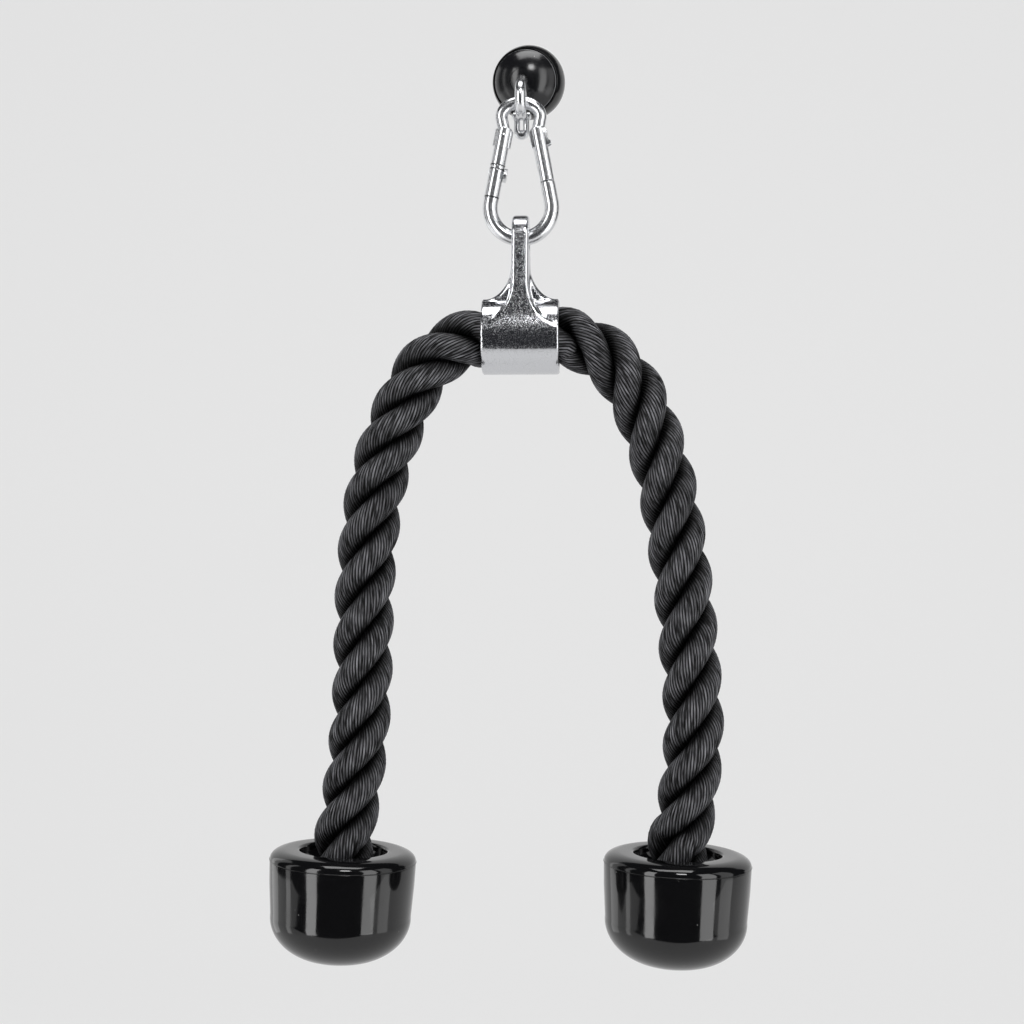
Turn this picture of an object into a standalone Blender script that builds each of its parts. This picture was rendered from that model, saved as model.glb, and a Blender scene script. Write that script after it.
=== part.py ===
"""Triceps rope attachment, hanging from the end of a cable.

A ball stop and its eye end the cable. A spring hook hangs in the eye and carries a cast yoke.
One thick rope runs through the yoke's barrel, with a moulded cap on each end.
The origin is the hole where the cable enters the ball. +Z is up and -Y is towards the user.
"""

from math import acos, asin, atan2, cos, degrees, hypot, pi, radians, sin, sqrt

import bmesh
import bpy
from mathutils import Matrix, Quaternion, Vector

MM = 0.001

# Shared by all pieces
GAP = 0.3 * MM
OVERRUN = 4 * MM
MERGE = 0.01 * MM
FINE_STEPS = 36
COARSE_STEPS = 20

# Ball stop, with its front dome and the ferrule inside
BALL_DIAMETER = 40 * MM
BALL_REAR_REACH = 19 * MM
BALL_AXIS_DOWN = radians(12)
BALL_AXIS_ASIDE = radians(8.5)
CABLE_HOLE_DIAMETER = 6.4 * MM
FACE_DIAMETER = 34.6 * MM
FACE_THICKNESS_AT_RIM = 4 * MM
FERRULE_DIAMETER = 12.6 * MM
FERRULE_LENGTH = 15.4 * MM
FERRULE_WALL_BEHIND_EYE = 5 * MM

# Eye on the cable's end: a loop, a shank into the ball and a slotted heel
EYE_WIRE_DIAMETER = 5.8 * MM
EYE_LOOP_HALF_DEPTH = 8.9 * MM
EYE_LOOP_HALF_HEIGHT = 7.9 * MM
EYE_REACH = 11.7 * MM
EYE_RISE = 15 * MM
HEEL_WIDTH = 8.2 * MM
HEEL_LENGTH = 15 * MM
HEEL_THICKNESS = 5 * MM
HEEL_DROP = 17.5 * MM
HEEL_SLOT_WIDTH = 2.2 * MM
HEEL_SLOT_LENGTH = 5 * MM
HEEL_EDGE = 1.5 * MM

# Spring hook
HOOK_LENGTH = 80 * MM
HOOK_WIRE_DIAMETER = 8 * MM
TOP_WIRE_DIAMETER = 6.6 * MM
TOP_BOW_HALF_WIDTH = 10.4 * MM
TOP_BOW_HEIGHT = 8 * MM
LOW_BOW_RADIUS = 16.4 * MM
RIVET_ASIDE = 9.4 * MM
RIVET_DROP = 18.4 * MM
NECK_WIDTH = 8.8 * MM
NECK_LENGTH = 12 * MM
NECK_THICKNESS = 3 * MM
NECK_FLAT_BELOW_RIVET = 3.6 * MM
SPINE_PIN_DROP_SHARE = 0.4775  # of the hook's length
SPINE_PIN_HEAD_DIAMETER = 7.4 * MM
SPINE_PIN_HEAD_THICKNESS = 1.4 * MM
SPINE_PIN_DIAMETER = 3 * MM

# Gate of the spring hook, measured down from its rivet. Its shares are of the gate's length
GATE_LENGTH_SHARE = 0.6223  # of the way from the rivet to the low bow's centre
GATE_EDGE = 0.5 * MM
RIVET_DIAMETER = 2.4 * MM
RIVET_PROUD = 0.3 * MM
FORK_SLOT_DEPTH = 5.2 * MM
SPRING_BORE_DIAMETER = 4.8 * MM
SPRING_BORE_END_SHARE = 0.658
PLUNGER_DIAMETER = 4.2 * MM
PLUNGER_LENGTH_SHARE = 0.185
SPRING_WIRE_DIAMETER = 0.6 * MM
SPRING_PITCH = 0.91 * MM
LATCH_SLOT_DEPTH_SHARE = 0.263
LATCH_SLOT_WIDTH = 3 * MM
LATCH_PIN_DIAMETER = 1.8 * MM
LATCH_PIN_UP_SHARE = 0.0988
NOSE_WIDTH = 5.4 * MM
NOSE_NOTCH_HEIGHT = 3 * MM

# Yoke casting, measured from the axis of the hook's lower bow
YOKE_WIDTH = 9 * MM
YOKE_EYE_HOLE_DIAMETER = 11.2 * MM
YOKE_EYE_WALL = 7.2 * MM
YOKE_EYE_FLARE = 1.6 * MM
YOKE_SEAT_GAP = 1 * MM
BARREL_DROP = 52.6 * MM
BARREL_LENGTH = 40.7 * MM
BARREL_WALL = 3 * MM
BARREL_EDGE = 1 * MM
WEB_THICKNESS = 15 * MM
WEB_TOP_DROP = 11.6 * MM
BAND_FLARE_DROP = 24 * MM
BAND_FLARE_RADIUS = 28.4 * MM
BAND_INSET = 0.4 * MM

# Rope, with routes measured outwards and upwards from the barrel's centre
ROPE_DIAMETER = 32 * MM
ROPE_CLEARANCE = 0.5 * MM
ROPE_STEP = 13 * MM
ROPE_TAIL_LENGTH = 38 * MM
LEAD_IN_ABOVE_COVER = 6.8 * MM
JOIN_STUB = 4 * MM
LEG_HINGE_OUT = 41 * MM
LEG_HINGE_DROP = 8 * MM
BEND_POINTS = 6
LEFT_ROUTE_MM = [
    (31, -2), (41, -7), (49.5, -14.5), (56.5, -24), (61.5, -34), (66, -45), (71.5, -59), (76, -75),
    (79.5, -93), (81.6, -112), (83.2, -134), (83.9, -160), (84.8, -192), (87, -219), (90.2, -243),
    (93, -259),
]
RIGHT_ROUTE_MM = [
    (30, -2), (39, -6), (47.5, -12.5), (55, -21), (60.5, -30), (65, -40), (69.5, -52), (74, -67),
    (78, -84), (81, -101), (84, -121), (86.5, -142), (88.5, -165), (90.3, -188), (90.8, -210),
    (89, -233), (85.5, -256),
]
LEFT_CAP_OUT = 94.6 * MM
RIGHT_CAP_OUT = 82.3 * MM
CAP_DROP = 277.5 * MM
LEFT_CAP_TILT = radians(2.4)
RIGHT_CAP_TILT = radians(1.8)

# Caps, measured from the seam between cup and cover
CAP_DIAMETER = 77.4 * MM
CUP_DEPTH = 52.6 * MM
CUP_DRAFT = 1.4 * MM
CUP_ROUNDING_ACROSS = 29.5 * MM
CUP_ROUNDING_UP = 23 * MM
COVER_HEIGHT = 5.8 * MM
COVER_ROUNDING_ACROSS = 8.5 * MM
COVER_ROUNDING_UP = 5 * MM
COVER_PLUG_DIAMETER = 66 * MM
COVER_PLUG_DEPTH = 6 * MM
MOUTH_DIAMETER = 46 * MM
MOUTH_LIP = 1.5 * MM
MOUTH_DISH_DEPTH = 8 * MM
SEAM_EDGE = 0.5 * MM
WASHER_DIAMETER = 48 * MM
WASHER_THICKNESS = 2 * MM
CLAMP_WALL = 2.4 * MM
CLAMP_LENGTH = 18 * MM
TAIL_END_CLEARANCE = 1 * MM

# Worked out from the sizes above
BALL_RADIUS = BALL_DIAMETER / 2
EYE_WIRE_RADIUS = EYE_WIRE_DIAMETER / 2
TOP_WIRE_RADIUS = TOP_WIRE_DIAMETER / 2
WIRE_RADIUS = HOOK_WIRE_DIAMETER / 2
ROPE_RADIUS = ROPE_DIAMETER / 2
ROPE_BORE_RADIUS = ROPE_RADIUS + ROPE_CLEARANCE
BARREL_RADIUS = ROPE_BORE_RADIUS + BARREL_WALL
LOW_BOW_DROP = HOOK_LENGTH - TOP_WIRE_RADIUS - WIRE_RADIUS
LOW_CENTRE_DROP = LOW_BOW_DROP - LOW_BOW_RADIUS
BALL_FRONT = Vector((
    -sin(BALL_AXIS_ASIDE) * cos(BALL_AXIS_DOWN),
    -cos(BALL_AXIS_ASIDE) * cos(BALL_AXIS_DOWN),
    -sin(BALL_AXIS_DOWN),
))
BALL_CENTRE = BALL_FRONT * BALL_REAR_REACH
BALL_POLE = BALL_CENTRE + BALL_FRONT * BALL_RADIUS
BOW_PLACE = BALL_POLE - Vector((0, EYE_REACH, EYE_RISE))
YOKE_PLACE = BOW_PLACE - Vector((0, 0, LOW_BOW_DROP))
BARREL_PLACE = YOKE_PLACE - Vector((0, 0, BARREL_DROP))
RIVET_SPAN = hypot(RIVET_ASIDE, LOW_CENTRE_DROP - RIVET_DROP)
GATE_LENGTH = RIVET_SPAN * GATE_LENGTH_SHARE
SPRING_BORE_END = GATE_LENGTH * SPRING_BORE_END_SHARE
PLUNGER_LENGTH = GATE_LENGTH * PLUNGER_LENGTH_SHARE
LATCH_SLOT_DEPTH = GATE_LENGTH * LATCH_SLOT_DEPTH_SHARE
LATCH_PIN_UP = GATE_LENGTH * LATCH_PIN_UP_SHARE
SPINE_PIN_DROP = HOOK_LENGTH * SPINE_PIN_DROP_SHARE
BAR_LEAN = asin(LOW_BOW_RADIUS / RIVET_SPAN) - atan2(RIVET_ASIDE, LOW_CENTRE_DROP - RIVET_DROP)

BLACK_GLOSS = ("black gloss plastic", (0.012, 0.012, 0.013), 0.12, 0.0)
RUBBER = ("black rubber", (0.010, 0.010, 0.011), 0.3, 0.0)
CAP_BLACK = ("smoky black moulding", (0.016, 0.016, 0.018), 0.2, 0.0)
PLATED_STEEL = ("plated steel", (0.62, 0.62, 0.62), 0.16, 1.0)
CHROME_CASTING = ("chrome-plated casting", (0.66, 0.66, 0.67), 0.12, 1.0)
SPRING_STEEL = ("spring steel", (0.45, 0.45, 0.46), 0.3, 1.0)
ROPE_BLACK = ("black rope", (0.014, 0.014, 0.015), 0.6, 0.0)


def clear_scene():
    """Remove the objects that a new scene starts with."""
    for thing in list(bpy.data.objects):
        bpy.data.objects.remove(thing, do_unlink=True)


def new_collection(name):
    """A collection linked to the scene."""
    made = bpy.data.collections.new(name)
    bpy.context.scene.collection.children.link(made)
    return made


def material_of(look):
    """The Principled material for one look, made once."""
    name, colour, roughness, metallic = look
    found = bpy.data.materials.get(name)
    if found:
        return found
    made = bpy.data.materials.new(name)
    made.use_nodes = True
    shader = made.node_tree.nodes["Principled BSDF"]
    shader.inputs["Base Color"].default_value = (*colour, 1.0)
    shader.inputs["Roughness"].default_value = roughness
    shader.inputs["Metallic"].default_value = metallic
    return made


def pivot(name, place, parent=None, turn=Quaternion()):
    """An empty that carries what turns or sits with it. Its place is in the world."""
    empty = bpy.data.objects.new(name, None)
    empty.empty_display_size = BALL_RADIUS
    PARTS.objects.link(empty)
    empty.location = place
    empty.rotation_mode = "QUATERNION"
    empty.rotation_quaternion = turn
    REST[name] = Matrix.LocRotScale(place, turn, None)
    if parent:
        empty.parent = parent
        empty.matrix_parent_inverse = REST[parent.name].inverted()
    return empty


def place_piece(piece, look, parent):
    """Give a piece its material, collection and parent."""
    for held in list(piece.users_collection):
        held.objects.unlink(piece)
    PARTS.objects.link(piece)
    piece.parent = parent
    if look:
        piece.data.materials.clear()
        piece.data.materials.append(material_of(look))
    return piece


def make_cutter(cutter, parent):
    """Hide a cutter from renders and move it to the cutters' collection."""
    for held in list(cutter.users_collection):
        held.objects.unlink(cutter)
    CUTTERS.objects.link(cutter)
    cutter.parent = parent
    cutter.hide_render = True
    cutter.display_type = "WIRE"
    return cutter


def boolean(piece, other, operation):
    """Join, cut or keep the overlap of a piece with another closed mesh."""
    change = piece.modifiers.new(f"{operation} {other.name}", "BOOLEAN")
    change.operation = operation
    change.object = other
    change.solver = "EXACT"
    return piece


def arc(centre, radius, first, last, count):
    """Points along an arc, from one angle to another in degrees."""
    turns = [radians(first + (last - first) * n / count) for n in range(count + 1)]
    return [(centre[0] + radius * cos(t), centre[1] + radius * sin(t)) for t in turns]


def oval(centre, across, up, first, last, steps):
    """Points along part of an ellipse, from one angle to another in degrees."""
    turns = [radians(first + (last - first) * n / steps) for n in range(steps + 1)]
    return [(centre[0] + across * cos(t), centre[1] + up * sin(t)) for t in turns]


def smooth(mesh):
    """Smooth shading with sharp edges kept."""
    mesh.shade_smooth()
    mesh.set_sharp_from_angle(angle=radians(35))


def turned(name, profile, steps, closed=True):
    """A profile of (radius, height) points turned about Z. An open one starts and ends on the axis."""
    mesh = bpy.data.meshes.new(name)
    shape = bmesh.new()
    points = [shape.verts.new((r, 0, z)) for r, z in profile]
    for pair in zip(points, points[1:]):
        shape.edges.new(pair)
    if closed:
        shape.edges.new((points[-1], points[0]))
    shape.to_mesh(mesh)
    shape.free()
    piece = bpy.data.objects.new(name, mesh)
    turn = piece.modifiers.new("Turn", "SCREW")
    turn.steps = turn.render_steps = steps
    turn.use_merge_vertices = True
    turn.merge_threshold = MERGE
    turn.use_smooth_shade = True
    return piece


def rod(name, radius, low, high, steps=COARSE_STEPS):
    """A plain round rod along Z."""
    mesh = bpy.data.meshes.new(name)
    shape = bmesh.new()
    bmesh.ops.create_cone(
        shape, cap_ends=True, segments=steps, radius1=radius, radius2=radius, depth=high - low
    )
    bmesh.ops.translate(shape, verts=shape.verts, vec=(0, 0, (low + high) / 2))
    shape.to_mesh(mesh)
    shape.free()
    smooth(mesh)
    return bpy.data.objects.new(name, mesh)


def block(name, low, high):
    """A box between two corners."""
    mesh = bpy.data.meshes.new(name)
    shape = bmesh.new()
    bmesh.ops.create_cube(shape, size=1)
    size = Vector(high) - Vector(low)
    bmesh.ops.scale(shape, verts=shape.verts, vec=size)
    bmesh.ops.translate(shape, verts=shape.verts, vec=(Vector(low) + Vector(high)) / 2)
    shape.to_mesh(mesh)
    shape.free()
    return bpy.data.objects.new(name, mesh)


def mesh_of_curve(guide):
    """The closed mesh of a curve object, which takes its place."""
    STAGING.objects.link(guide)
    bpy.context.view_layer.update()
    evaluated = guide.evaluated_get(bpy.context.evaluated_depsgraph_get())
    mesh = bpy.data.meshes.new_from_object(evaluated)
    shape = bmesh.new()
    shape.from_mesh(mesh)
    bmesh.ops.remove_doubles(shape, verts=shape.verts, dist=MERGE)
    bmesh.ops.recalc_face_normals(shape, faces=shape.faces)
    shape.to_mesh(mesh)
    shape.free()
    name = guide.name
    bpy.data.objects.remove(guide, do_unlink=True)
    mesh.name = name
    smooth(mesh)
    return bpy.data.objects.new(name, mesh)


def tube(name, points, radii, closed=False, fineness=4):
    """A round bar along a list of points, with a radius at each."""
    curve = bpy.data.curves.new(name, "CURVE")
    curve.dimensions = "3D"
    curve.bevel_depth = 1
    curve.bevel_resolution = fineness
    curve.use_fill_caps = not closed
    line = curve.splines.new("POLY")
    line.points.add(len(points) - 1)
    for knot, point, radius in zip(line.points, points, radii):
        knot.co = (*point, 1)
        knot.radius = radius
    line.use_cyclic_u = closed
    return mesh_of_curve(bpy.data.objects.new(name, curve))


def round_edges(piece, width):
    """Round a piece's sharp edges."""
    bevel = piece.modifiers.new("Rounding", "BEVEL")
    bevel.width = width
    bevel.segments = 2
    bevel.limit_method = "ANGLE"
    bevel.angle_limit = radians(50)
    return piece


def plate(name, outline, thickness, turn=None):
    """A flat outline in XZ, thickened along Y."""
    curve = bpy.data.curves.new(name, "CURVE")
    curve.dimensions = "2D"
    curve.fill_mode = "BOTH"
    curve.extrude = thickness / 2
    line = curve.splines.new("POLY")
    line.points.add(len(outline) - 1)
    for knot, (x, z) in zip(line.points, outline):
        knot.co = (x, z, 0, 1)
    line.use_cyclic_u = True
    made = mesh_of_curve(bpy.data.objects.new(name, curve))
    made.data.transform(Matrix.Rotation(radians(90), 4, "X"))
    if turn:
        made.data.transform(turn)
    return made


def smooth_route(points, step):
    """Evenly spaced points on a smooth curve through a route's own points."""
    ends = [points[0] * 2 - points[1], *points, points[-1] * 2 - points[-2]]
    fine = []
    for a, b, c, d in zip(ends, ends[1:], ends[2:], ends[3:]):
        for n in range(COARSE_STEPS):
            t = n / COARSE_STEPS
            bent, curled = a * 2 - b * 5 + c * 4 - d, b * 3 - a - c * 3 + d
            fine.append((b * 2 + (c - a) * t + bent * t**2 + curled * t**3) / 2)
    fine.append(points[-1])
    run = [0]
    for a, b in zip(fine, fine[1:]):
        run.append(run[-1] + (b - a).length)
    count = max(1, round(run[-1] / step))
    even, at = [], 0
    for n in range(count + 1):
        goal = run[-1] * n / count
        while at < len(run) - 2 and run[at + 1] < goal:
            at += 1
        even.append(fine[at].lerp(fine[at + 1], (goal - run[at]) / (run[at + 1] - run[at])))
    return even


def make_ball():
    """The ball stop with its domed face, on the cable's axis."""
    turn = BALL_FRONT.to_track_quat("Z", "Y")
    axis = pivot("ball_axis", BALL_CENTRE, turn=turn)
    hole = CABLE_HOLE_DIAMETER / 2
    face = FACE_DIAMETER / 2
    rim = sqrt(BALL_RADIUS**2 - face**2)
    floor = rim - FACE_THICKNESS_AT_RIM
    well = FERRULE_DIAMETER / 2 + GAP
    rear = sqrt(BALL_RADIUS**2 - BALL_REAR_REACH**2)
    first = degrees(atan2(rim, face))
    last = -degrees(atan2(BALL_REAR_REACH, rear))
    well_end = floor - FERRULE_LENGTH - GAP * 2
    shell = turned("ball_stop", [
        *arc((0, 0), BALL_RADIUS, first, last, 14),
        (hole, -BALL_REAR_REACH),
        (hole, well_end),
        (well, well_end),
        (well, floor),
        (face, floor),
    ], FINE_STEPS)
    place_piece(shell, RUBBER, axis)

    bore = EYE_WIRE_DIAMETER / 2 + GAP
    edge = face - GAP
    top = degrees(atan2(sqrt(BALL_RADIUS**2 - bore**2), bore))
    side = degrees(atan2(sqrt(BALL_RADIUS**2 - edge**2), edge))
    dome = turned("ball_face", [
        *arc((0, 0), BALL_RADIUS, top, side, 8),
        (edge, floor + GAP),
        (bore, floor + GAP),
    ], FINE_STEPS)
    place_piece(dome, BLACK_GLOSS, axis)
    return axis, floor


def make_eye(ball_axis, floor):
    """The eye with its shank in the ferrule. Both turn in the ball about the cable's axis."""
    turn = BALL_FRONT.to_track_quat("Z", "Y")
    axis = pivot("eye_axis", BALL_CENTRE, ball_axis, turn)
    high = floor - GAP
    low = high - FERRULE_LENGTH
    shank_end = low + FERRULE_WALL_BEHIND_EYE
    shank_bore = EYE_WIRE_RADIUS + GAP
    ferrule = turned("cable_ferrule", [
        (shank_bore, high),
        (FERRULE_DIAMETER / 2, high),
        (FERRULE_DIAMETER / 2, low),
        (EYE_WIRE_RADIUS, low),
        (EYE_WIRE_RADIUS, shank_end - GAP),
        (shank_bore, shank_end - GAP),
    ], COARSE_STEPS)
    place_piece(ferrule, PLATED_STEEL, axis)

    middle = EYE_LOOP_HALF_HEIGHT - TOP_WIRE_RADIUS - GAP - EYE_WIRE_RADIUS
    turns = [2 * pi * n / COARSE_STEPS for n in range(COARSE_STEPS)]
    ring = [
        BOW_PLACE + Vector((0, EYE_LOOP_HALF_DEPTH * sin(t), middle + EYE_LOOP_HALF_HEIGHT * cos(t)))
        for t in turns
    ]
    loop = tube("cable_eye", ring, [EYE_WIRE_RADIUS] * len(ring), closed=True)
    inner = BALL_CENTRE + BALL_FRONT * shank_end
    top = BOW_PLACE + Vector((0, 0, middle + EYE_LOOP_HALF_HEIGHT))
    route = [inner, BALL_POLE, BALL_POLE.lerp(top, 0.5) + Vector((0, 0, GAP)), top]
    shank = tube("eye_shank", route, [EYE_WIRE_RADIUS] * len(route))
    heel_centre = BOW_PLACE + Vector((0, EYE_LOOP_HALF_DEPTH - HEEL_EDGE, 0))
    foot = -HEEL_DROP + HEEL_WIDTH / 2
    head = -HEEL_DROP + HEEL_LENGTH - HEEL_WIDTH / 2
    outline = [
        *arc((0, foot), HEEL_WIDTH / 2, 180, 360, 10),
        *arc((0, head), HEEL_WIDTH / 2, 0, 180, 10),
    ]
    slot_top = foot + HEEL_SLOT_LENGTH - HEEL_SLOT_WIDTH
    slot_outline = [
        *arc((0, foot), HEEL_SLOT_WIDTH / 2, 180, 360, 6),
        *arc((0, slot_top), HEEL_SLOT_WIDTH / 2, 0, 180, 6),
    ]
    heel = plate("eye_heel", outline, HEEL_THICKNESS)
    round_edges(heel, HEEL_EDGE)
    slot = plate("heel_slot", slot_outline, HEEL_THICKNESS + OVERRUN)
    for extra in (heel, slot):
        extra.location = heel_centre
    for extra, operation in ((shank, "UNION"), (heel, "UNION"), (slot, "DIFFERENCE")):
        boolean(loop, make_cutter(extra, None), operation)
    place_piece(loop, PLATED_STEEL, axis)
    loop.matrix_parent_inverse = REST["eye_axis"].inverted()
    return axis


def bar_point(side, below):
    """A point on the left or right bar of the hook, at a distance below its rivet."""
    aside = RIVET_ASIDE + below * sin(BAR_LEAN)
    return Vector((side * aside, 0, -RIVET_DROP - below * cos(BAR_LEAN)))


def neck_outline():
    """The flattened neck round the rivet: straight sides, a round top and a foot with a flat."""
    half = NECK_WIDTH / 2
    turn = degrees(asin(NECK_FLAT_BELOW_RIVET / half))
    foot = [*arc((0, 0), half, 180, 180 + turn, 4), *arc((0, 0), half, 360 - turn, 360, 4)]
    top = NECK_LENGTH - NECK_FLAT_BELOW_RIVET - half
    return [*foot, *arc((0, top), half, 0, 180, 8)]


def make_hook_body(axis):
    """Bow, spine and lower bow in one bent bar, flattened at both necks and slotted nose."""
    fork_top = WIRE_RADIUS + GAP
    top = [
        (TOP_BOW_HALF_WIDTH * sin(t), TOP_BOW_HEIGHT * (cos(t) - 1))
        for t in [radians(90 - 15 * n) for n in range(13)]
    ]
    neck = bar_point(1, -fork_top)
    route = [neck, *[Vector((x, 0, z)) for x, z in top], bar_point(-1, -fork_top - GAP)]
    radii = [TOP_WIRE_RADIUS] * len(route)
    lean = degrees(BAR_LEAN)
    low = arc((0, -LOW_CENTRE_DROP), LOW_BOW_RADIUS, 180 - lean, 360 + lean, 22)
    nose_shoulder = GATE_LENGTH + GAP * 2
    rest = [bar_point(-1, -fork_top), *[Vector((x, 0, z)) for x, z in low]]
    rest.append(bar_point(1, nose_shoulder))
    route += rest
    radii += [WIRE_RADIUS] * len(rest)
    body = tube("carabiner_body", route, radii)

    for side, name in ((1, "right_neck"), (-1, "left_neck")):
        turn = Matrix.Rotation(-side * BAR_LEAN, 4, "Y")
        flat = plate(name, neck_outline(), NECK_THICKNESS, turn=turn)
        flat.location = bar_point(side, 0)
        boolean(body, make_cutter(flat, axis), "UNION")

    turn = Matrix.Rotation(-BAR_LEAN, 4, "Y")
    half = NOSE_WIDTH / 2
    tongue_top = -GATE_LENGTH + LATCH_SLOT_DEPTH - GAP * 2
    pin = -GATE_LENGTH + LATCH_PIN_UP
    notch = NOSE_NOTCH_HEIGHT / 2
    outline = [
        (-half, -nose_shoulder - WIRE_RADIUS / 2),
        (half, -nose_shoulder - WIRE_RADIUS / 2),
        (half, tongue_top),
        (-half, tongue_top),
        (-half, pin + notch),
        *arc((0, pin), notch, 90, -90, 8),
        (-half, pin - notch),
    ]
    tongue = plate("nose_tongue", outline, LATCH_SLOT_WIDTH - GAP * 2, turn=turn)
    tongue.location = bar_point(1, 0)
    boolean(body, make_cutter(tongue, axis), "UNION")

    through = HOOK_WIRE_DIAMETER
    hole = rod("rivet_hole", RIVET_DIAMETER / 2 + GAP, -through, through, 16)
    hole.rotation_euler = (radians(90), 0, 0)
    hole.location = bar_point(1, 0)
    boolean(body, make_cutter(hole, axis), "DIFFERENCE")

    below = (SPINE_PIN_DROP - RIVET_DROP) / cos(BAR_LEAN)
    pin_hole = rod("spine_pin_hole", SPINE_PIN_DIAMETER / 2 + GAP, -through, through, 16)
    pin_hole.rotation_euler = (0, radians(90) + BAR_LEAN, 0)
    pin_hole.location = bar_point(-1, below)
    boolean(body, make_cutter(pin_hole, axis), "DIFFERENCE")
    return place_piece(body, PLATED_STEEL, axis)


def make_spine_pin(axis):
    """A pin across the spine, with a thin round head on the inner side."""
    below = (SPINE_PIN_DROP - RIVET_DROP) / cos(BAR_LEAN)
    head = SPINE_PIN_HEAD_DIAMETER / 2
    stem = SPINE_PIN_DIAMETER / 2
    seat = WIRE_RADIUS + GAP
    profile = rod("spine_pin", stem, -WIRE_RADIUS, seat + SPINE_PIN_HEAD_THICKNESS / 2)
    disc = rod("spine_pin_head", head, seat, seat + SPINE_PIN_HEAD_THICKNESS)
    boolean(profile, make_cutter(disc, None), "UNION")
    for thing in (profile, disc):
        thing.rotation_euler = (0, radians(90) + BAR_LEAN, 0)
        thing.location = bar_point(-1, below)
        thing.parent = axis
    return place_piece(profile, PLATED_STEEL, axis)


def make_gate(hook_axis):
    """The sprung gate: a forked and bored bar that turns on its rivet."""
    place = BOW_PLACE + bar_point(1, 0)
    turn = Matrix.Rotation(-BAR_LEAN, 3, "Y").to_quaternion()
    axis = pivot("gate_hinge", place, hook_axis, turn)
    gate = turned("carabiner_gate", [
        (0, WIRE_RADIUS),
        *arc((0, 0), WIRE_RADIUS, 75, 0, 5),
        (WIRE_RADIUS, -GATE_LENGTH + GATE_EDGE),
        (WIRE_RADIUS - GATE_EDGE, -GATE_LENGTH),
        (0, -GATE_LENGTH),
    ], COARSE_STEPS, closed=False)
    through = HOOK_WIRE_DIAMETER
    slot_half = NECK_THICKNESS / 2 + GAP
    fork = block(
        "fork_slot",
        (-through, -slot_half, -FORK_SLOT_DEPTH),
        (through, slot_half, through),
    )
    latch_half = LATCH_SLOT_WIDTH / 2
    latch = block(
        "latch_slot",
        (-through, -latch_half, -GATE_LENGTH - OVERRUN),
        (through, latch_half, -GATE_LENGTH + LATCH_SLOT_DEPTH),
    )
    bore = rod("spring_bore", SPRING_BORE_DIAMETER / 2, -SPRING_BORE_END, 0)
    rivet_hole = rod("gate_rivet_hole", RIVET_DIAMETER / 2 + GAP, -through, through, 16)
    rivet_hole.rotation_euler = (radians(90), 0, 0)
    pin_hole = rod("latch_pin_hole", LATCH_PIN_DIAMETER / 2 + GAP, -through, through, 12)
    pin_hole.rotation_euler = (radians(90), 0, 0)
    pin_hole.location = (0, 0, -GATE_LENGTH + LATCH_PIN_UP)
    for cutter in (fork, latch, bore, rivet_hole, pin_hole):
        boolean(gate, make_cutter(cutter, axis), "DIFFERENCE")
    place_piece(gate, PLATED_STEEL, axis)

    reach = WIRE_RADIUS + RIVET_PROUD
    rivet = rod("gate_rivet", RIVET_DIAMETER / 2, -reach, reach, 16)
    rivet.rotation_euler = (radians(90), 0, 0)
    place_piece(rivet, PLATED_STEEL, hook_axis)
    rivet.location = bar_point(1, 0)

    across = sqrt(WIRE_RADIUS**2 - (LATCH_PIN_DIAMETER / 2) ** 2)
    pin = rod("gate_latch_pin", LATCH_PIN_DIAMETER / 2, -across, across, 12)
    pin.rotation_euler = (radians(90), 0, 0)
    pin.location = (0, 0, -GATE_LENGTH + LATCH_PIN_UP)
    place_piece(pin, PLATED_STEEL, axis)

    plunger_top = -NECK_FLAT_BELOW_RIVET - GAP
    plunger = rod("gate_plunger", PLUNGER_DIAMETER / 2, plunger_top - PLUNGER_LENGTH, plunger_top)
    place_piece(plunger, SPRING_STEEL, axis)

    wire = SPRING_WIRE_DIAMETER / 2
    high = plunger_top - PLUNGER_LENGTH - GAP - wire
    low = -SPRING_BORE_END + GAP + wire
    ring = PLUNGER_DIAMETER / 2 - wire
    turns = round((high - low) / SPRING_PITCH)
    count = turns * 10
    coil = [
        Vector((
            ring * cos(2 * pi * turns * n / count),
            ring * sin(2 * pi * turns * n / count),
            low + (high - low) * n / count,
        ))
        for n in range(count + 1)
    ]
    spring = tube("gate_spring", coil, [wire] * len(coil), fineness=1)
    place_piece(spring, SPRING_STEEL, axis)
    return axis


def hull_outline(top, top_radius, low, low_radius):
    """The outline round two circles, one above the other, joined by straight tangents."""
    tilt = degrees(asin((low_radius - top_radius) / (top - low)))
    return [
        *arc((0, top), top_radius, tilt, 180 - tilt, 16),
        *arc((0, low), low_radius, 180 - tilt, 360 + tilt, 22),
    ]


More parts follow.
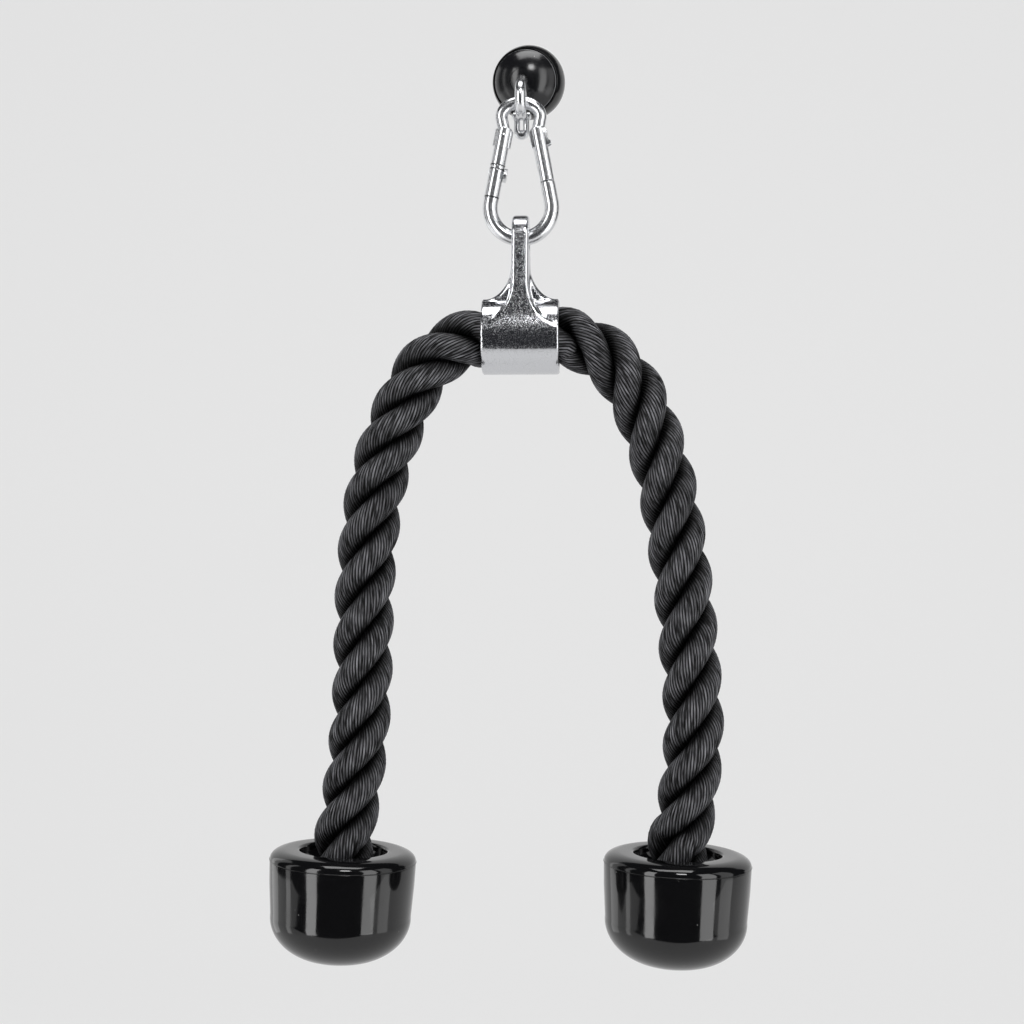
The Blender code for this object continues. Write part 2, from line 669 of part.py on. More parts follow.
def make_yoke(hook_axis):
    """The casting: an eye over the hook's bow, a band and a web flaring to a barrel."""
    axis = pivot("yoke_axis", YOKE_PLACE, hook_axis)
    hole = YOKE_EYE_HOLE_DIAMETER / 2
    eye_centre = WIRE_RADIUS + YOKE_SEAT_GAP - hole
    eye_radius = hole + YOKE_EYE_WALL
    half = YOKE_WIDTH / 2
    reach = BARREL_LENGTH / 2
    barrel_top = -BARREL_DROP + BARREL_RADIUS

    across = Matrix.Rotation(radians(90), 4, "Z")
    outline = hull_outline(eye_centre, eye_radius, -BARREL_DROP, BARREL_RADIUS - BAND_INSET)
    side = plate("yoke_side", outline, BARREL_LENGTH, turn=across)
    foot = reach - BARREL_EDGE * 2
    spread = degrees(acos(1 - (foot - half) / BAND_FLARE_RADIUS))
    flare_centre = (half + BAND_FLARE_RADIUS, -BAND_FLARE_DROP)
    right_flare = arc(flare_centre, BAND_FLARE_RADIUS, 180, 180 + spread, 7)
    right_flare.append((foot, -BARREL_DROP))
    band_top = eye_centre + eye_radius + OVERRUN
    outline = [(half, band_top), *right_flare]
    band = plate("yoke", [*outline, *[(-x, z) for x, z in reversed(outline)]], BARREL_RADIUS * 3)
    boolean(band, make_cutter(side, axis), "INTERSECT")

    web_drop = -barrel_top - WEB_TOP_DROP
    right_web = [
        (half + (reach - half) * (1 - cos(t)) - BARREL_EDGE * sin(t), -WEB_TOP_DROP - web_drop * sin(t))
        for t in [radians(15 * n) for n in range(7)]
    ]
    web_half = [(half / 2, -WEB_TOP_DROP), *right_web[1:], (foot, -BARREL_DROP - BARREL_EDGE)]
    web = plate("yoke_web", [*web_half, *[(-x, z) for x, z in reversed(web_half)]], WEB_THICKNESS)

    upright = (0, radians(90), 0)
    barrel = turned("yoke_barrel", [
        (0, reach),
        (BARREL_RADIUS - BARREL_EDGE, reach),
        (BARREL_RADIUS, reach - BARREL_EDGE),
        (BARREL_RADIUS, -reach + BARREL_EDGE),
        (BARREL_RADIUS - BARREL_EDGE, -reach),
        (0, -reach),
    ], FINE_STEPS, closed=False)
    bore = turned("barrel_bore", [
        (0, reach + OVERRUN),
        (ROPE_BORE_RADIUS, reach + OVERRUN),
        (ROPE_BORE_RADIUS, -reach - OVERRUN),
        (0, -reach - OVERRUN),
    ], FINE_STEPS, closed=False)
    eye_hole = turned("yoke_eye_hole", [
        (0, half + OVERRUN),
        (hole + YOKE_EYE_FLARE, half + OVERRUN),
        (hole + YOKE_EYE_FLARE, half),
        *[
            (hole + YOKE_EYE_FLARE * (1 - cos(radians(t))), half * sin(radians(t)))
            for t in (60, 30, 0, -30, -60)
        ],
        (hole + YOKE_EYE_FLARE, -half),
        (hole + YOKE_EYE_FLARE, -half - OVERRUN),
        (0, -half - OVERRUN),
    ], COARSE_STEPS, closed=False)
    for thing in (barrel, bore, eye_hole):
        thing.rotation_euler = upright
    for thing in (barrel, bore):
        thing.location = (0, 0, -BARREL_DROP)
    eye_hole.location = (0, 0, eye_centre)
    for extra, operation in (
        (eye_hole, "DIFFERENCE"), (web, "UNION"), (barrel, "UNION"), (bore, "DIFFERENCE"),
    ):
        boolean(band, make_cutter(extra, axis), operation)
    place_piece(band, CHROME_CASTING, axis)
    return axis


def rope_tube(name, points, parent, origin):
    """A plain round stretch of the rope along its route."""
    local = [point - origin for point in points]
    return place_piece(tube(name, local, [ROPE_RADIUS] * len(local)), ROPE_BLACK, parent)


def cap_frame(side, out, tilt):
    """The place of a cap's seam and the way up along its axis."""
    place = BARREL_PLACE + Vector((side * out, 0, -CAP_DROP))
    return place, Matrix.Rotation(tilt, 3, "Y").to_quaternion()


def make_leg(yoke_axis, name, side, route, out, tilt):
    """One side of the rope: the bend out of the barrel, the leg, the end and its cap."""
    hinge = BARREL_PLACE + Vector((side * LEG_HINGE_OUT, 0, -LEG_HINGE_DROP))
    axis = pivot(f"{name}_leg_hinge", hinge, yoke_axis)
    seam, turn = cap_frame(side, out, tilt)
    up = turn @ Vector((0, 0, 1))
    leg_end = seam + up * (GAP - COVER_PLUG_DEPTH / 2)
    chosen = [BARREL_PLACE + Vector((side * x, 0, z)) * MM for x, z in route]
    mouth = BARREL_PLACE + Vector((side * (BARREL_LENGTH / 2 + GAP), 0, 0))
    lead_in = seam + up * (COVER_HEIGHT + LEAD_IN_ABOVE_COVER)
    stub = Vector((side * JOIN_STUB, 0, 0))
    line = [mouth, *smooth_route([mouth + stub, *chosen, lead_in, leg_end], ROPE_STEP)]
    length = sum((b - a).length for a, b in zip(line, line[1:]))
    print(f"{name} rope outside the barrel: {length / MM:.0f} mm")
    split = line[BEND_POINTS]
    along = (line[BEND_POINTS + 1] - line[BEND_POINTS - 1]).normalized()
    bend = [*line[:BEND_POINTS], split - along * JOIN_STUB, split]
    leg = [split + along * GAP, split + along * JOIN_STUB, *line[BEND_POINTS + 1:]]
    rope_tube(f"rope_{name}_bend", bend, axis, hinge)
    rope_tube(f"rope_{name}_leg", leg, axis, hinge)
    make_cap(pivot(f"{name}_cap_axis", seam, axis, turn), name)


def make_cap(axis, name):
    """A cup and its cover, with the rope's end, the clamp round it and the washer above."""
    radius = CAP_DIAMETER / 2
    plug = COVER_PLUG_DIAMETER / 2
    mouth = MOUTH_DIAMETER / 2
    washer = WASHER_DIAMETER / 2
    clamp = ROPE_BORE_RADIUS + CLAMP_WALL
    rope_bore = ROPE_BORE_RADIUS
    seam = GAP / 2
    dish_foot = COVER_HEIGHT - MOUTH_DISH_DEPTH
    cover = turned(f"{name}_cap_cover", [
        (mouth + MOUTH_LIP, COVER_HEIGHT),
        *oval(
            (radius - COVER_ROUNDING_ACROSS, COVER_HEIGHT - COVER_ROUNDING_UP),
            COVER_ROUNDING_ACROSS, COVER_ROUNDING_UP, 90, 0, 6,
        ),
        (radius, seam + SEAM_EDGE),
        (radius - SEAM_EDGE, seam),
        (plug, seam),
        (plug, -COVER_PLUG_DEPTH),
        (rope_bore, -COVER_PLUG_DEPTH),
        (rope_bore, dish_foot),
        *arc(
            (mouth - MOUTH_DISH_DEPTH, COVER_HEIGHT - MOUTH_LIP),
            MOUTH_DISH_DEPTH - MOUTH_LIP, -80, 0, 4,
        ),
        (mouth, COVER_HEIGHT - MOUTH_LIP),
    ], FINE_STEPS)
    place_piece(cover, CAP_BLACK, axis)

    floor = -COVER_PLUG_DEPTH - GAP
    step = floor - WASHER_THICKNESS - GAP
    well = step - CLAMP_LENGTH - GAP
    tail = -COVER_PLUG_DEPTH / 2
    tail_end = tail - ROPE_TAIL_LENGTH
    foot = radius - CUP_DRAFT - CUP_ROUNDING_ACROSS
    cup = turned(f"{name}_cap_cup", [
        (0, tail_end - TAIL_END_CLEARANCE),
        (rope_bore, tail_end - TAIL_END_CLEARANCE),
        (rope_bore, well),
        (clamp + GAP, well),
        (clamp + GAP, step),
        (washer + GAP, step),
        (washer + GAP, floor),
        (plug + GAP, floor),
        (plug + GAP, -seam),
        (radius - SEAM_EDGE, -seam),
        (radius, -seam - SEAM_EDGE),
        *oval((foot, -CUP_DEPTH + CUP_ROUNDING_UP), CUP_ROUNDING_ACROSS, CUP_ROUNDING_UP, 0, -90, 10),
        (0, -CUP_DEPTH),
    ], FINE_STEPS, closed=False)
    place_piece(cup, CAP_BLACK, axis)

    ring = turned(f"{name}_rope_washer", [
        (rope_bore, floor - GAP),
        (washer, floor - GAP),
        (washer, floor - WASHER_THICKNESS),
        (rope_bore, floor - WASHER_THICKNESS),
    ], FINE_STEPS)
    place_piece(ring, PLATED_STEEL, axis)
    band = turned(f"{name}_rope_clamp", [
        (rope_bore, step - GAP),
        (clamp, step - GAP),
        (clamp, step - CLAMP_LENGTH),
        (rope_bore, step - CLAMP_LENGTH),
    ], FINE_STEPS)
    place_piece(band, PLATED_STEEL, axis)
    points = [Vector((0, 0, tail)), Vector((0, 0, tail_end))]
    place_piece(tube(f"rope_{name}_end", points, [ROPE_RADIUS] * 2), ROPE_BLACK, axis)


def main():
    """Build the whole part."""
    ball_axis, floor = make_ball()
    eye_axis = make_eye(ball_axis, floor)
    hook_axis = pivot("hook_axis", BOW_PLACE, eye_axis)
    make_hook_body(hook_axis)
    make_spine_pin(hook_axis)
    make_gate(hook_axis)
    yoke_axis = make_yoke(hook_axis)
    half = Vector((BARREL_LENGTH / 2, 0, 0))
    rope_tube("rope_in_yoke", [BARREL_PLACE - half, BARREL_PLACE + half], yoke_axis, YOKE_PLACE)
    make_leg(yoke_axis, "left", -1, LEFT_ROUTE_MM, LEFT_CAP_OUT, LEFT_CAP_TILT)
    make_leg(yoke_axis, "right", 1, RIGHT_ROUTE_MM, RIGHT_CAP_OUT, RIGHT_CAP_TILT)


clear_scene()
REST = {}
PARTS = new_collection("triceps_rope_attachment")
CUTTERS = new_collection("cutters")
STAGING = new_collection("staging")
main()
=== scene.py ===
"""Looks of the triceps rope attachment: laid rope, moulded caps, plated hook and cast yoke."""

from math import atan2, cos, hypot, pi, radians, sin, sqrt

import bmesh
import bpy
import numpy as np
from mathutils import Matrix, Vector


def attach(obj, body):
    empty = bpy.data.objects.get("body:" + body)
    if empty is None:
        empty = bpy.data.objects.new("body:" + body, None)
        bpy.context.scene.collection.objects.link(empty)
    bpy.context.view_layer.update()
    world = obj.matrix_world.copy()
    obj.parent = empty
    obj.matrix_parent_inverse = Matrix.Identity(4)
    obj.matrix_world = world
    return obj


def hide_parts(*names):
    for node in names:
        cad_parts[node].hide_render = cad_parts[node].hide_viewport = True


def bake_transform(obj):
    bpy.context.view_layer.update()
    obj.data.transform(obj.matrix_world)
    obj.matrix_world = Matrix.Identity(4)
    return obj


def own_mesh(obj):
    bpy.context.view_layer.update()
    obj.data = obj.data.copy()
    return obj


bl_info = {
    "name": "Triceps Rope Attachment",
    "version": (1, 0, 0),
    "blender": (4, 5, 0),
    "location": "3D View > Sidebar > Rope",
    "description": "Makes the laid rope, caps, spring hook and yoke of a cable attachment",
    "category": "Object",
}

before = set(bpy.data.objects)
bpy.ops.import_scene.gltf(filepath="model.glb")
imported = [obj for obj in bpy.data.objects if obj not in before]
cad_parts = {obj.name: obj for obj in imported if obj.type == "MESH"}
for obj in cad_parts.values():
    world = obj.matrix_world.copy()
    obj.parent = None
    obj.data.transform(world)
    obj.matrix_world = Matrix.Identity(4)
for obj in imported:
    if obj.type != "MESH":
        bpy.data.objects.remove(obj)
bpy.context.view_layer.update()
MM = 0.001
TAU = 2 * pi

# Places that part.py also uses, in metres in the row frame
BALL_AXIS_DOWN, BALL_AXIS_ASIDE = radians(12), radians(8.5)
BALL_FRONT = np.array([
    -sin(BALL_AXIS_ASIDE) * cos(BALL_AXIS_DOWN),
    -cos(BALL_AXIS_ASIDE) * cos(BALL_AXIS_DOWN),
    -sin(BALL_AXIS_DOWN),
])
BALL_CENTRE = BALL_FRONT * 19 * MM
BALL_POLE = BALL_FRONT * 39 * MM
BOW_PLACE = BALL_POLE - np.array([0, 11.7, 15]) * MM
LOW_BOW_DROP = 72.7 * MM
YOKE_PLACE = BOW_PLACE - np.array([0, 0, LOW_BOW_DROP])
BARREL_DROP_MM = 52.6
BARREL_PLACE = YOKE_PLACE - np.array([0, 0, BARREL_DROP_MM * MM])
LEFT_ROUTE_MM = [
    (31, -2), (41, -7), (49.5, -14.5), (56.5, -24), (61.5, -34), (66, -45), (71.5, -59), (76, -75),
    (79.5, -93), (81.6, -112), (83.2, -134), (83.9, -160), (84.8, -192), (87, -219), (90.2, -243),
    (93, -259),
]
RIGHT_ROUTE_MM = [
    (30, -2), (39, -6), (47.5, -12.5), (55, -21), (60.5, -30), (65, -40), (69.5, -52), (74, -67),
    (78, -84), (81, -101), (84, -121), (86.5, -142), (88.5, -165), (90.3, -188), (90.8, -210),
    (89, -233), (85.5, -256),
]
LEFT_SEAM = BARREL_PLACE + np.array([-94.6, 0, -277.5]) * MM
RIGHT_SEAM = BARREL_PLACE + np.array([82.3, 0, -277.5]) * MM
LEFT_TILT, RIGHT_TILT = radians(2.4), radians(1.8)


def linear(code):
    """The linear colour of an sRGB hex code, with its alpha of 1."""
    parts = np.array([int(code[i:i + 2], 16) for i in (1, 3, 5)]) / 255
    light = np.where(parts <= 0.04045, parts / 12.92, ((parts + 0.055) / 1.055) ** 2.4)
    return (*light.tolist(), 1.0)


# Sizes and colours

class RopeSizes(bpy.types.PropertyGroup):
    """Sizes and colour of the laid rope."""
    diameter: bpy.props.FloatProperty(
        name="Diameter", description="Across the laid rope", default=32 * MM, unit="LENGTH")
    lay: bpy.props.FloatProperty(
        name="Lay", description="Length in which a strand goes once round", default=76 * MM,
        unit="LENGTH")
    yarns: bpy.props.IntProperty(
        name="Yarns", description="Yarns that show round one strand", default=22, min=8, max=40)
    yarn_depth: bpy.props.FloatProperty(
        name="Yarn depth", description="Depth of the groove between two yarns",
        default=0.8 * MM, unit="LENGTH")
    colour: bpy.props.FloatVectorProperty(
        name="Colour", description="Colour of the fibre", size=4, subtype="COLOR",
        default=linear("#3c3c3e"), min=0, max=1)


class CapSizes(bpy.types.PropertyGroup):
    """Sizes and colour of the caps."""
    diameter: bpy.props.FloatProperty(
        name="Diameter", description="Across the cup at its seam", default=77.4 * MM,
        unit="LENGTH")
    depth: bpy.props.FloatProperty(
        name="Depth", description="From the seam to the bottom", default=52.6 * MM, unit="LENGTH")
    colour: bpy.props.FloatVectorProperty(
        name="Colour", description="Colour of the moulding", size=4, subtype="COLOR",
        default=linear("#0c0c0d"), min=0, max=1)


class MetalColours(bpy.types.PropertyGroup):
    """Colours of the metal."""
    plating: bpy.props.FloatVectorProperty(
        name="Plating", description="Bright plated steel", size=4, subtype="COLOR",
        default=linear("#d9dadc"), min=0, max=1)
    casting: bpy.props.FloatVectorProperty(
        name="Casting", description="Chrome over the cast yoke", size=4, subtype="COLOR",
        default=linear("#cdced1"), min=0, max=1)


class StageSizes(bpy.types.PropertyGroup):
    """Camera and backdrop."""
    distance: bpy.props.FloatProperty(
        name="Distance", description="From the camera to the rope", default=0.85, unit="LENGTH")
    azimuth: bpy.props.FloatProperty(
        name="Azimuth", description="How far round to the right the camera stands",
        default=radians(3), unit="ROTATION")
    backdrop: bpy.props.FloatVectorProperty(
        name="Backdrop", description="Colour of floor and wall", size=4, subtype="COLOR",
        default=linear("#f4f4f4"), min=0, max=1)


# Meshes

def unit(vectors):
    """The vectors with a length of one."""
    return vectors / np.linalg.norm(vectors, axis=-1)[..., None]


def grid_faces(rows, columns, close_rows=False, close_columns=True):
    """Quads of a grid: point (r, c) joins its right and lower neighbours, and edges may wrap."""
    r = np.arange(rows if close_rows else rows - 1)
    c = np.arange(columns if close_columns else columns - 1)
    r, c = np.meshgrid(r, c, indexing="ij")
    below, right = (r + 1) % rows, (c + 1) % columns
    here, under = r * columns, below * columns
    quads = np.stack([here + c, here + right, under + right, under + c], -1)
    return quads.reshape(-1, 4)


def make_mesh(name, points, quads, triangles=(), uv=None, sharp=40):
    """A mesh object from arrays of points and faces, smooth but for edges sharper than an angle."""
    mesh = bpy.data.meshes.new(name)
    mesh.from_pydata(points.reshape(-1, 3).tolist(), [], [*quads.tolist(), *np.array(triangles).tolist()])
    if uv is not None:
        layer = mesh.uv_layers.new(name="UVMap")
        layer.data.foreach_set("uv", uv.astype(np.float32).ravel())
    mesh.polygons.foreach_set("use_smooth", np.ones(len(mesh.polygons), bool))
    if sharp:
        mesh.set_sharp_from_angle(angle=radians(sharp))
    mesh.validate()
    made = bpy.data.objects.new(name, mesh)
    bpy.context.scene.collection.objects.link(made)
    return made


def face_up(made):
    """Turns the faces of a closed mesh outwards."""
    work = bmesh.new()
    work.from_mesh(made.data)
    bmesh.ops.recalc_face_normals(work, faces=work.faces)
    work.to_mesh(made.data)
    work.free()
    return made


def oval(centre, across, up, first, last, steps):
    """Points of an ellipse from one angle in degrees to another: centre + (across cos a, up sin a)."""
    a = np.radians(np.linspace(first, last, steps + 1))
    return list(zip(centre[0] + across * np.cos(a), centre[1] + up * np.sin(a)))


def arc(centre, radius, first, last, steps):
    """Points of a circle from one angle in degrees to another."""
    return oval(centre, radius, radius, first, last, steps)


def shell(rows, closed=False):
    """One closed skin over rows of points: quads between rows, and a fan over each open end."""
    count, columns = rows.shape[:2]
    points = rows.reshape(-1, 3)
    quads = grid_faces(count, columns, close_rows=closed)
    if closed:
        return points, quads, np.zeros((0, 3), int)
    c = np.arange(columns)
    after, last, middle = (c + 1) % columns, (count - 1) * columns, len(points)
    fans = np.concatenate([
        np.stack([np.full(columns, middle), after, c], -1),
        np.stack([np.full(columns, middle + 1), last + c, last + after], -1),
    ])
    return np.concatenate([points, rows[:1].mean(1), rows[-1:].mean(1)]), quads, fans


def merged(shells):
    """The points, quads and fans of several skins as one."""
    starts = np.cumsum([0] + [len(points) for points, _, _ in shells])
    parts = [(p, q + start, f + start) for (p, q, f), start in zip(shells, starts)]
    return [np.concatenate(kind) for kind in zip(*parts)]


def joined(name, shells, place, sharp=40):
    """One object from several skins given in millimetres round a place."""
    points, quads, fans = merged(shells)
    return face_up(make_mesh(name, points * MM + place, quads, fans, sharp=sharp))


def lathe(name, profile, steps, place, turn, closed=True):
    """A profile (radius, height) carried round the axis: x = r cos a, y = r sin a, z = h.

    A closed profile makes a ring. An open one gets a flat fan at each end.
    """
    r, h = np.array(profile, float).T[..., None]
    a = np.arange(steps) * TAU / steps
    points, quads, fans = shell(np.stack([r * np.cos(a), r * np.sin(a), h + 0 * a], -1), closed)
    return face_up(make_mesh(name, points @ np.array(turn)[:3, :3].T + place, quads, fans))


def sweep(path, side, across, deep, columns=32, closed=False, cut=None):
    """A section carried along a path: point = path + across cos a n + deep sin a s.

    s is the given side vector made square to the path, and n is square to both. A cut keeps
    only the part of the section that lies further along s than the cut.
    """
    path = np.array(path, float)
    if closed:
        along = unit(np.roll(path, -1, 0) - np.roll(path, 1, 0))
    else:
        along = unit(np.gradient(path, axis=0))
    side = unit(side - along * (along @ side)[:, None])
    normal = np.cross(along, side)
    a = np.arange(columns) * TAU / columns
    across, deep = (np.broadcast_to(size, len(path))[:, None] for size in (across, deep))
    wide, high = across * np.cos(a), deep * np.sin(a)
    if cut is not None:
        chord = across * np.sqrt(1 - (cut / deep) ** 2)
        wide, high = np.clip(wide, -chord, chord), np.maximum(high, cut)
    rows = path[:, None] + wide[..., None] * normal[:, None] + high[..., None] * side[:, None]
    return shell(rows, closed)


def run_along(path):
    """How far along a path each of its points lies."""
    return np.concatenate([[0], np.cumsum(np.linalg.norm(np.diff(path, axis=0), axis=1))])


def resampled(path, step, extra=()):
    """Even points along a path, with more round the given distances, and how far each lies."""
    path = np.array(path, float)
    run = run_along(path)
    # Rows stand closer where the ends are rounded, and for 0.9 mm each side of an extra place
    near = np.array([0, 0.05, 0.12, 0.22, 0.35, 0.5])
    at = [np.linspace(0, run[-1], round(run[-1] / step) + 1), near, run[-1] - near]
    at += [d + np.linspace(-0.9, 0.9, 19) for d in extra]
    at = np.unique(np.round(np.concatenate(at), 4))
    at = at[(at >= 0) & (at <= run[-1])]
    return np.stack([np.interp(at, run, path[:, i]) for i in range(3)], 1), at


def end_rounding(run, edge, both=True):
    """How far a bar's radius falls short near its ends, or its start: the edge is a quarter circle."""
    near = np.clip(np.minimum(run, run[-1] - run) if both else run, 0, edge)
    return edge - np.sqrt(edge**2 - (edge - near) ** 2)


def turned(profile, start, along, side, columns=32):
    """A profile (radius, distance along) carried round an axis: start + d along + r (side turned)."""
    start, along, side = (np.array(v, float) for v in (start, along, side))
    other = np.cross(along, side)
    a = np.arange(columns) * TAU / columns
    ring = np.cos(a)[:, None] * side + np.sin(a)[:, None] * other
    return shell(np.stack([start + d * along + r * ring for r, d in profile]))


def groove(run, places, width):
    """Fine grooves round a bar: at each place the radius dips by depth exp(-(distance / width)^4)."""
    return sum(depth * np.exp(-(((run - d) / width) ** 4)) for d, depth in places)


def slab(outline, front, back, edge):
    """A plate between two depths, with a rounded edge.

    At a depth of edge (1 - cos t) its outline is drawn in by edge (1 - sin t), t from 0 to 90 degrees.
    """
    outline = np.array(outline, float)
    middle = outline.mean(0)
    reach = np.linalg.norm(outline - middle, axis=1)[:, None]
    first = [(middle + (outline - middle) * (reach - edge * (1 - sin(t))) / reach, edge * (1 - cos(t)))
             for t in np.radians([0, 30, 60, 90])]
    levels = [(o, front + d) for o, d in first] + [(o, back - d) for o, d in reversed(first)]
    return shell(np.stack([
        np.stack([o[:, 0], np.full(len(o), y), o[:, 1]], -1) for o, y in levels
    ]))


def smooth_least(a, b, k):
    """The lesser of two distances, blended over k: fills an inner corner.

    Where they differ by less than k, it is less by k h^2 / 4, with h = 1 - difference / k.
    """
    h = np.maximum(k - np.abs(a - b), 0) / k
    return np.minimum(a, b) - h * h * k / 4


def smooth_most(a, b, k):
    """The greater of two distances, blended over k: rounds an outer edge."""
    return -smooth_least(-a, -b, k)


def zero_surface(field, low, high, step):
    """The skin on which a distance formula is zero.

    Each cell of a grid that it crosses gets a point, at the mean of the crossings on the cell's
    edges, which is then moved along the slope onto the skin. Each grid edge that it crosses gets
    a quad between the four cells round it.
    """
    axes = [np.arange(a, b + step, step) for a, b in zip(low, high)]
    value = field(*np.meshgrid(*axes, indexing="ij", sparse=True))
    inside = value < 0
    total = np.zeros((*(n - 1 for n in value.shape), 3))
    count = np.zeros(total.shape[:3])
    crossings = []
    for axis in range(3):
        b, c = [n for n in range(3) if n != axis]
        v, within = np.moveaxis(value, axis, 0), np.moveaxis(inside, axis, 0)
        cross = within[:-1] != within[1:]
        share = np.where(cross, v[:-1] / np.where(cross, v[:-1] - v[1:], 1), 0)
        crossings.append(cross)
        sums, counts = np.moveaxis(total, axis, 0), np.moveaxis(count, axis, 0)
        rows, columns = cross.shape[1] - 1, cross.shape[2] - 1
        for one in (0, 1):
            for two in (0, 1):
                window = (slice(None), slice(one, rows + one), slice(two, columns + two))
                sums[..., axis] += share[window]
                sums[..., b] += cross[window] * one
                sums[..., c] += cross[window] * two
                counts += cross[window]
    used = count > 0
    index = np.full(count.shape, -1)
    index[used] = np.arange(used.sum())
    points = (np.argwhere(used) + total[used] / count[used][:, None]) * step + np.array(low)
    quads, corners = [], ((0, 0), (1, 0), (1, 1), (0, 1))
    for axis, cross in enumerate(crossings):
        cells = np.moveaxis(index, axis, 0)
        i, j, k = np.nonzero(cross[:, 1:-1, 1:-1])
        quads.append(np.stack([cells[i, j + one, k + two] for one, two in corners], -1))
    nudge, least_slope, moves = 0.02, 0.05, 4
    for _ in range(moves):
        here = field(*points.T)
        slope = np.stack([
            (field(*(points + d).T) - field(*(points - d).T)) / (2 * nudge) for d in np.eye(3) * nudge
        ], -1)
        move = slope * (here / np.maximum((slope**2).sum(1), least_slope))[:, None]
        points = points - np.clip(move, -step, step)
    return points, np.concatenate(quads), np.zeros((0, 3), int)


def smooth_line(points, step):
    """Even points on a cubic curve through all the points, and how far along each lies.

    A span from b to c, with a before and d after, is at t from 0 to 1: half of 2b + (c - a) t
    + (2a - 5b + 4c - d) t^2 + (3b - a - 3c + d) t^3.
    """
    points = np.array(points, float)
    ends = np.concatenate([[2 * points[0] - points[1]], points, [2 * points[-1] - points[-2]]])
    a, b, c, d = ends[:-3, None], ends[1:-2, None], ends[2:-1, None], ends[3:, None]
    per_span = 40
    t = np.linspace(0, 1, per_span, endpoint=False)[None, :, None]
    fine = (2 * b + (c - a) * t + (2 * a - 5 * b + 4 * c - d) * t**2 + (3 * b - a - 3 * c + d) * t**3) / 2
    fine = np.concatenate([fine.reshape(-1, 3), points[-1:]])
    run = run_along(fine)
    at = np.linspace(0, run[-1], max(2, round(run[-1] / step)) + 1)
    return np.stack([np.interp(at, run, fine[:, i]) for i in range(3)], 1), at


# Materials

def join(node, **links):
    """Links a socket, or the first socket of another node, to each of the node's named inputs."""
    for name, source in links.items():
        key = int(name[1:]) if name[0] == "i" and name[1:].isdigit() else name.replace("_", " ")
        node.id_data.links.new(getattr(source, "outputs", (source,))[0], node.inputs[key])


def add(tree, kind, settings=(), **links):
    """Adds a node. Settings go to its properties or sockets by name."""
    node = tree.nodes.new(kind)
    for name, value in dict(settings).items():
        if isinstance(name, int) or name in node.inputs:
            node.inputs[name].default_value = value
        else:
            setattr(node, name, value)
    join(node, **links)
    return node


def new_material(name, colour, roughness, metallic=0.0, **sockets):
    """A Principled material, and its tree and shader, for what a maker would call it."""
    made = bpy.data.materials.new(name)
    made.use_nodes = True
    shader = made.node_tree.nodes["Principled BSDF"]
    shader.inputs["Base Color"].default_value = colour
    shader.inputs["Roughness"].default_value = roughness
    shader.inputs["Metallic"].default_value = metallic
    for key, value in sockets.items():
        shader.inputs[key.replace("_", " ")].default_value = value
    return made, made.node_tree, shader


def dress(material, *things):
    """Gives pieces or CAD nodes one material."""
    for thing in things:
        thing.data.materials.clear()
        thing.data.materials.append(material)


def plated_steel(colour):
    """Nickel-chrome plated bent bar: mirror bright, with faint drawing marks along the bar and
    a slight ripple from bending, which break its reflections."""
    made, tree, shader = new_material("Plated bent steel bar", colour, 0.12, 1.0)
    place = add(tree, "ShaderNodeTexCoord").outputs["Object"]
    # Drawing marks 0.3 mm apart and 4 mm long, drawn along Z as the bars mostly run
    marks = add(tree, "ShaderNodeMapping", {"Scale": (3300, 3300, 250)}, Vector=place)
    fine = add(tree, "ShaderNodeTexNoise", {"Scale": 1, "Detail": 3}, Vector=marks)
    # Ripple 5 mm across
    wide = add(tree, "ShaderNodeTexNoise", {"Scale": 200, "Detail": 2}, Vector=place)
    rough = add(tree, "ShaderNodeMapRange", {"To Min": 0.17, "To Max": 0.34}, Value=fine)
    low = add(tree, "ShaderNodeBump", {"Strength": 0.25, "Distance": 0.15 * MM}, Height=wide)
    high = add(tree, "ShaderNodeBump", {"Strength": 0.12, "Distance": 0.05 * MM}, Height=fine, Normal=low)
    join(shader, Roughness=rough, Normal=high)
    return made


def chrome_casting(colour):
    """Sand-cast iron under chrome: a polished skin with pebbles 2 mm across, ripples 8 mm across
    and curly marks that the polish left."""
    made, tree, shader = new_material("Chromed iron casting", colour, 0.16, 1.0)
    place = add(tree, "ShaderNodeTexCoord").outputs["Object"]
    pebble = add(tree, "ShaderNodeTexNoise", {"Scale": 420, "Detail": 3, "Roughness": 0.6}, Vector=place)
    ripple = add(tree, "ShaderNodeTexNoise", {"Scale": 130, "Detail": 2}, Vector=place)
    rough = add(tree, "ShaderNodeMapRange", {"To Min": 0.2, "To Max": 0.08}, Value=pebble)
    low = add(tree, "ShaderNodeBump", {"Strength": 0.3, "Distance": 0.3 * MM}, Height=ripple)
    # Curly marks: the skin rises where a 1.6 mm noise crosses its middle value
    curl = add(tree, "ShaderNodeTexNoise", {"Scale": 620, "Detail": 1, "Distortion": 1.5}, Vector=place)
    off = add(tree, "ShaderNodeMath", {"operation": "SUBTRACT", 1: 0.5}, i0=curl)
    size = add(tree, "ShaderNodeMath", {"operation": "ABSOLUTE"}, i0=off)
    line = add(tree, "ShaderNodeMapRange", {"From Max": 0.022, "To Min": 1, "To Max": 0}, Value=size)
    # The marks are rough, so that they show grey where the polish round them is dark
    dull = add(tree, "ShaderNodeMapRange", {"To Min": 0.0, "To Max": 0.3}, Value=line)
    both = add(tree, "ShaderNodeMath", {"operation": "ADD"}, i0=rough, i1=dull)
    pebbled = add(tree, "ShaderNodeBump", {"Strength": 0.1, "Distance": 0.12 * MM},
                  Height=pebble, Normal=low)
    high = add(tree, "ShaderNodeBump", {"Strength": 0.14, "Distance": 0.1 * MM},
               Height=line, Normal=pebbled)
    join(shader, Roughness=both, Normal=high)
    return made


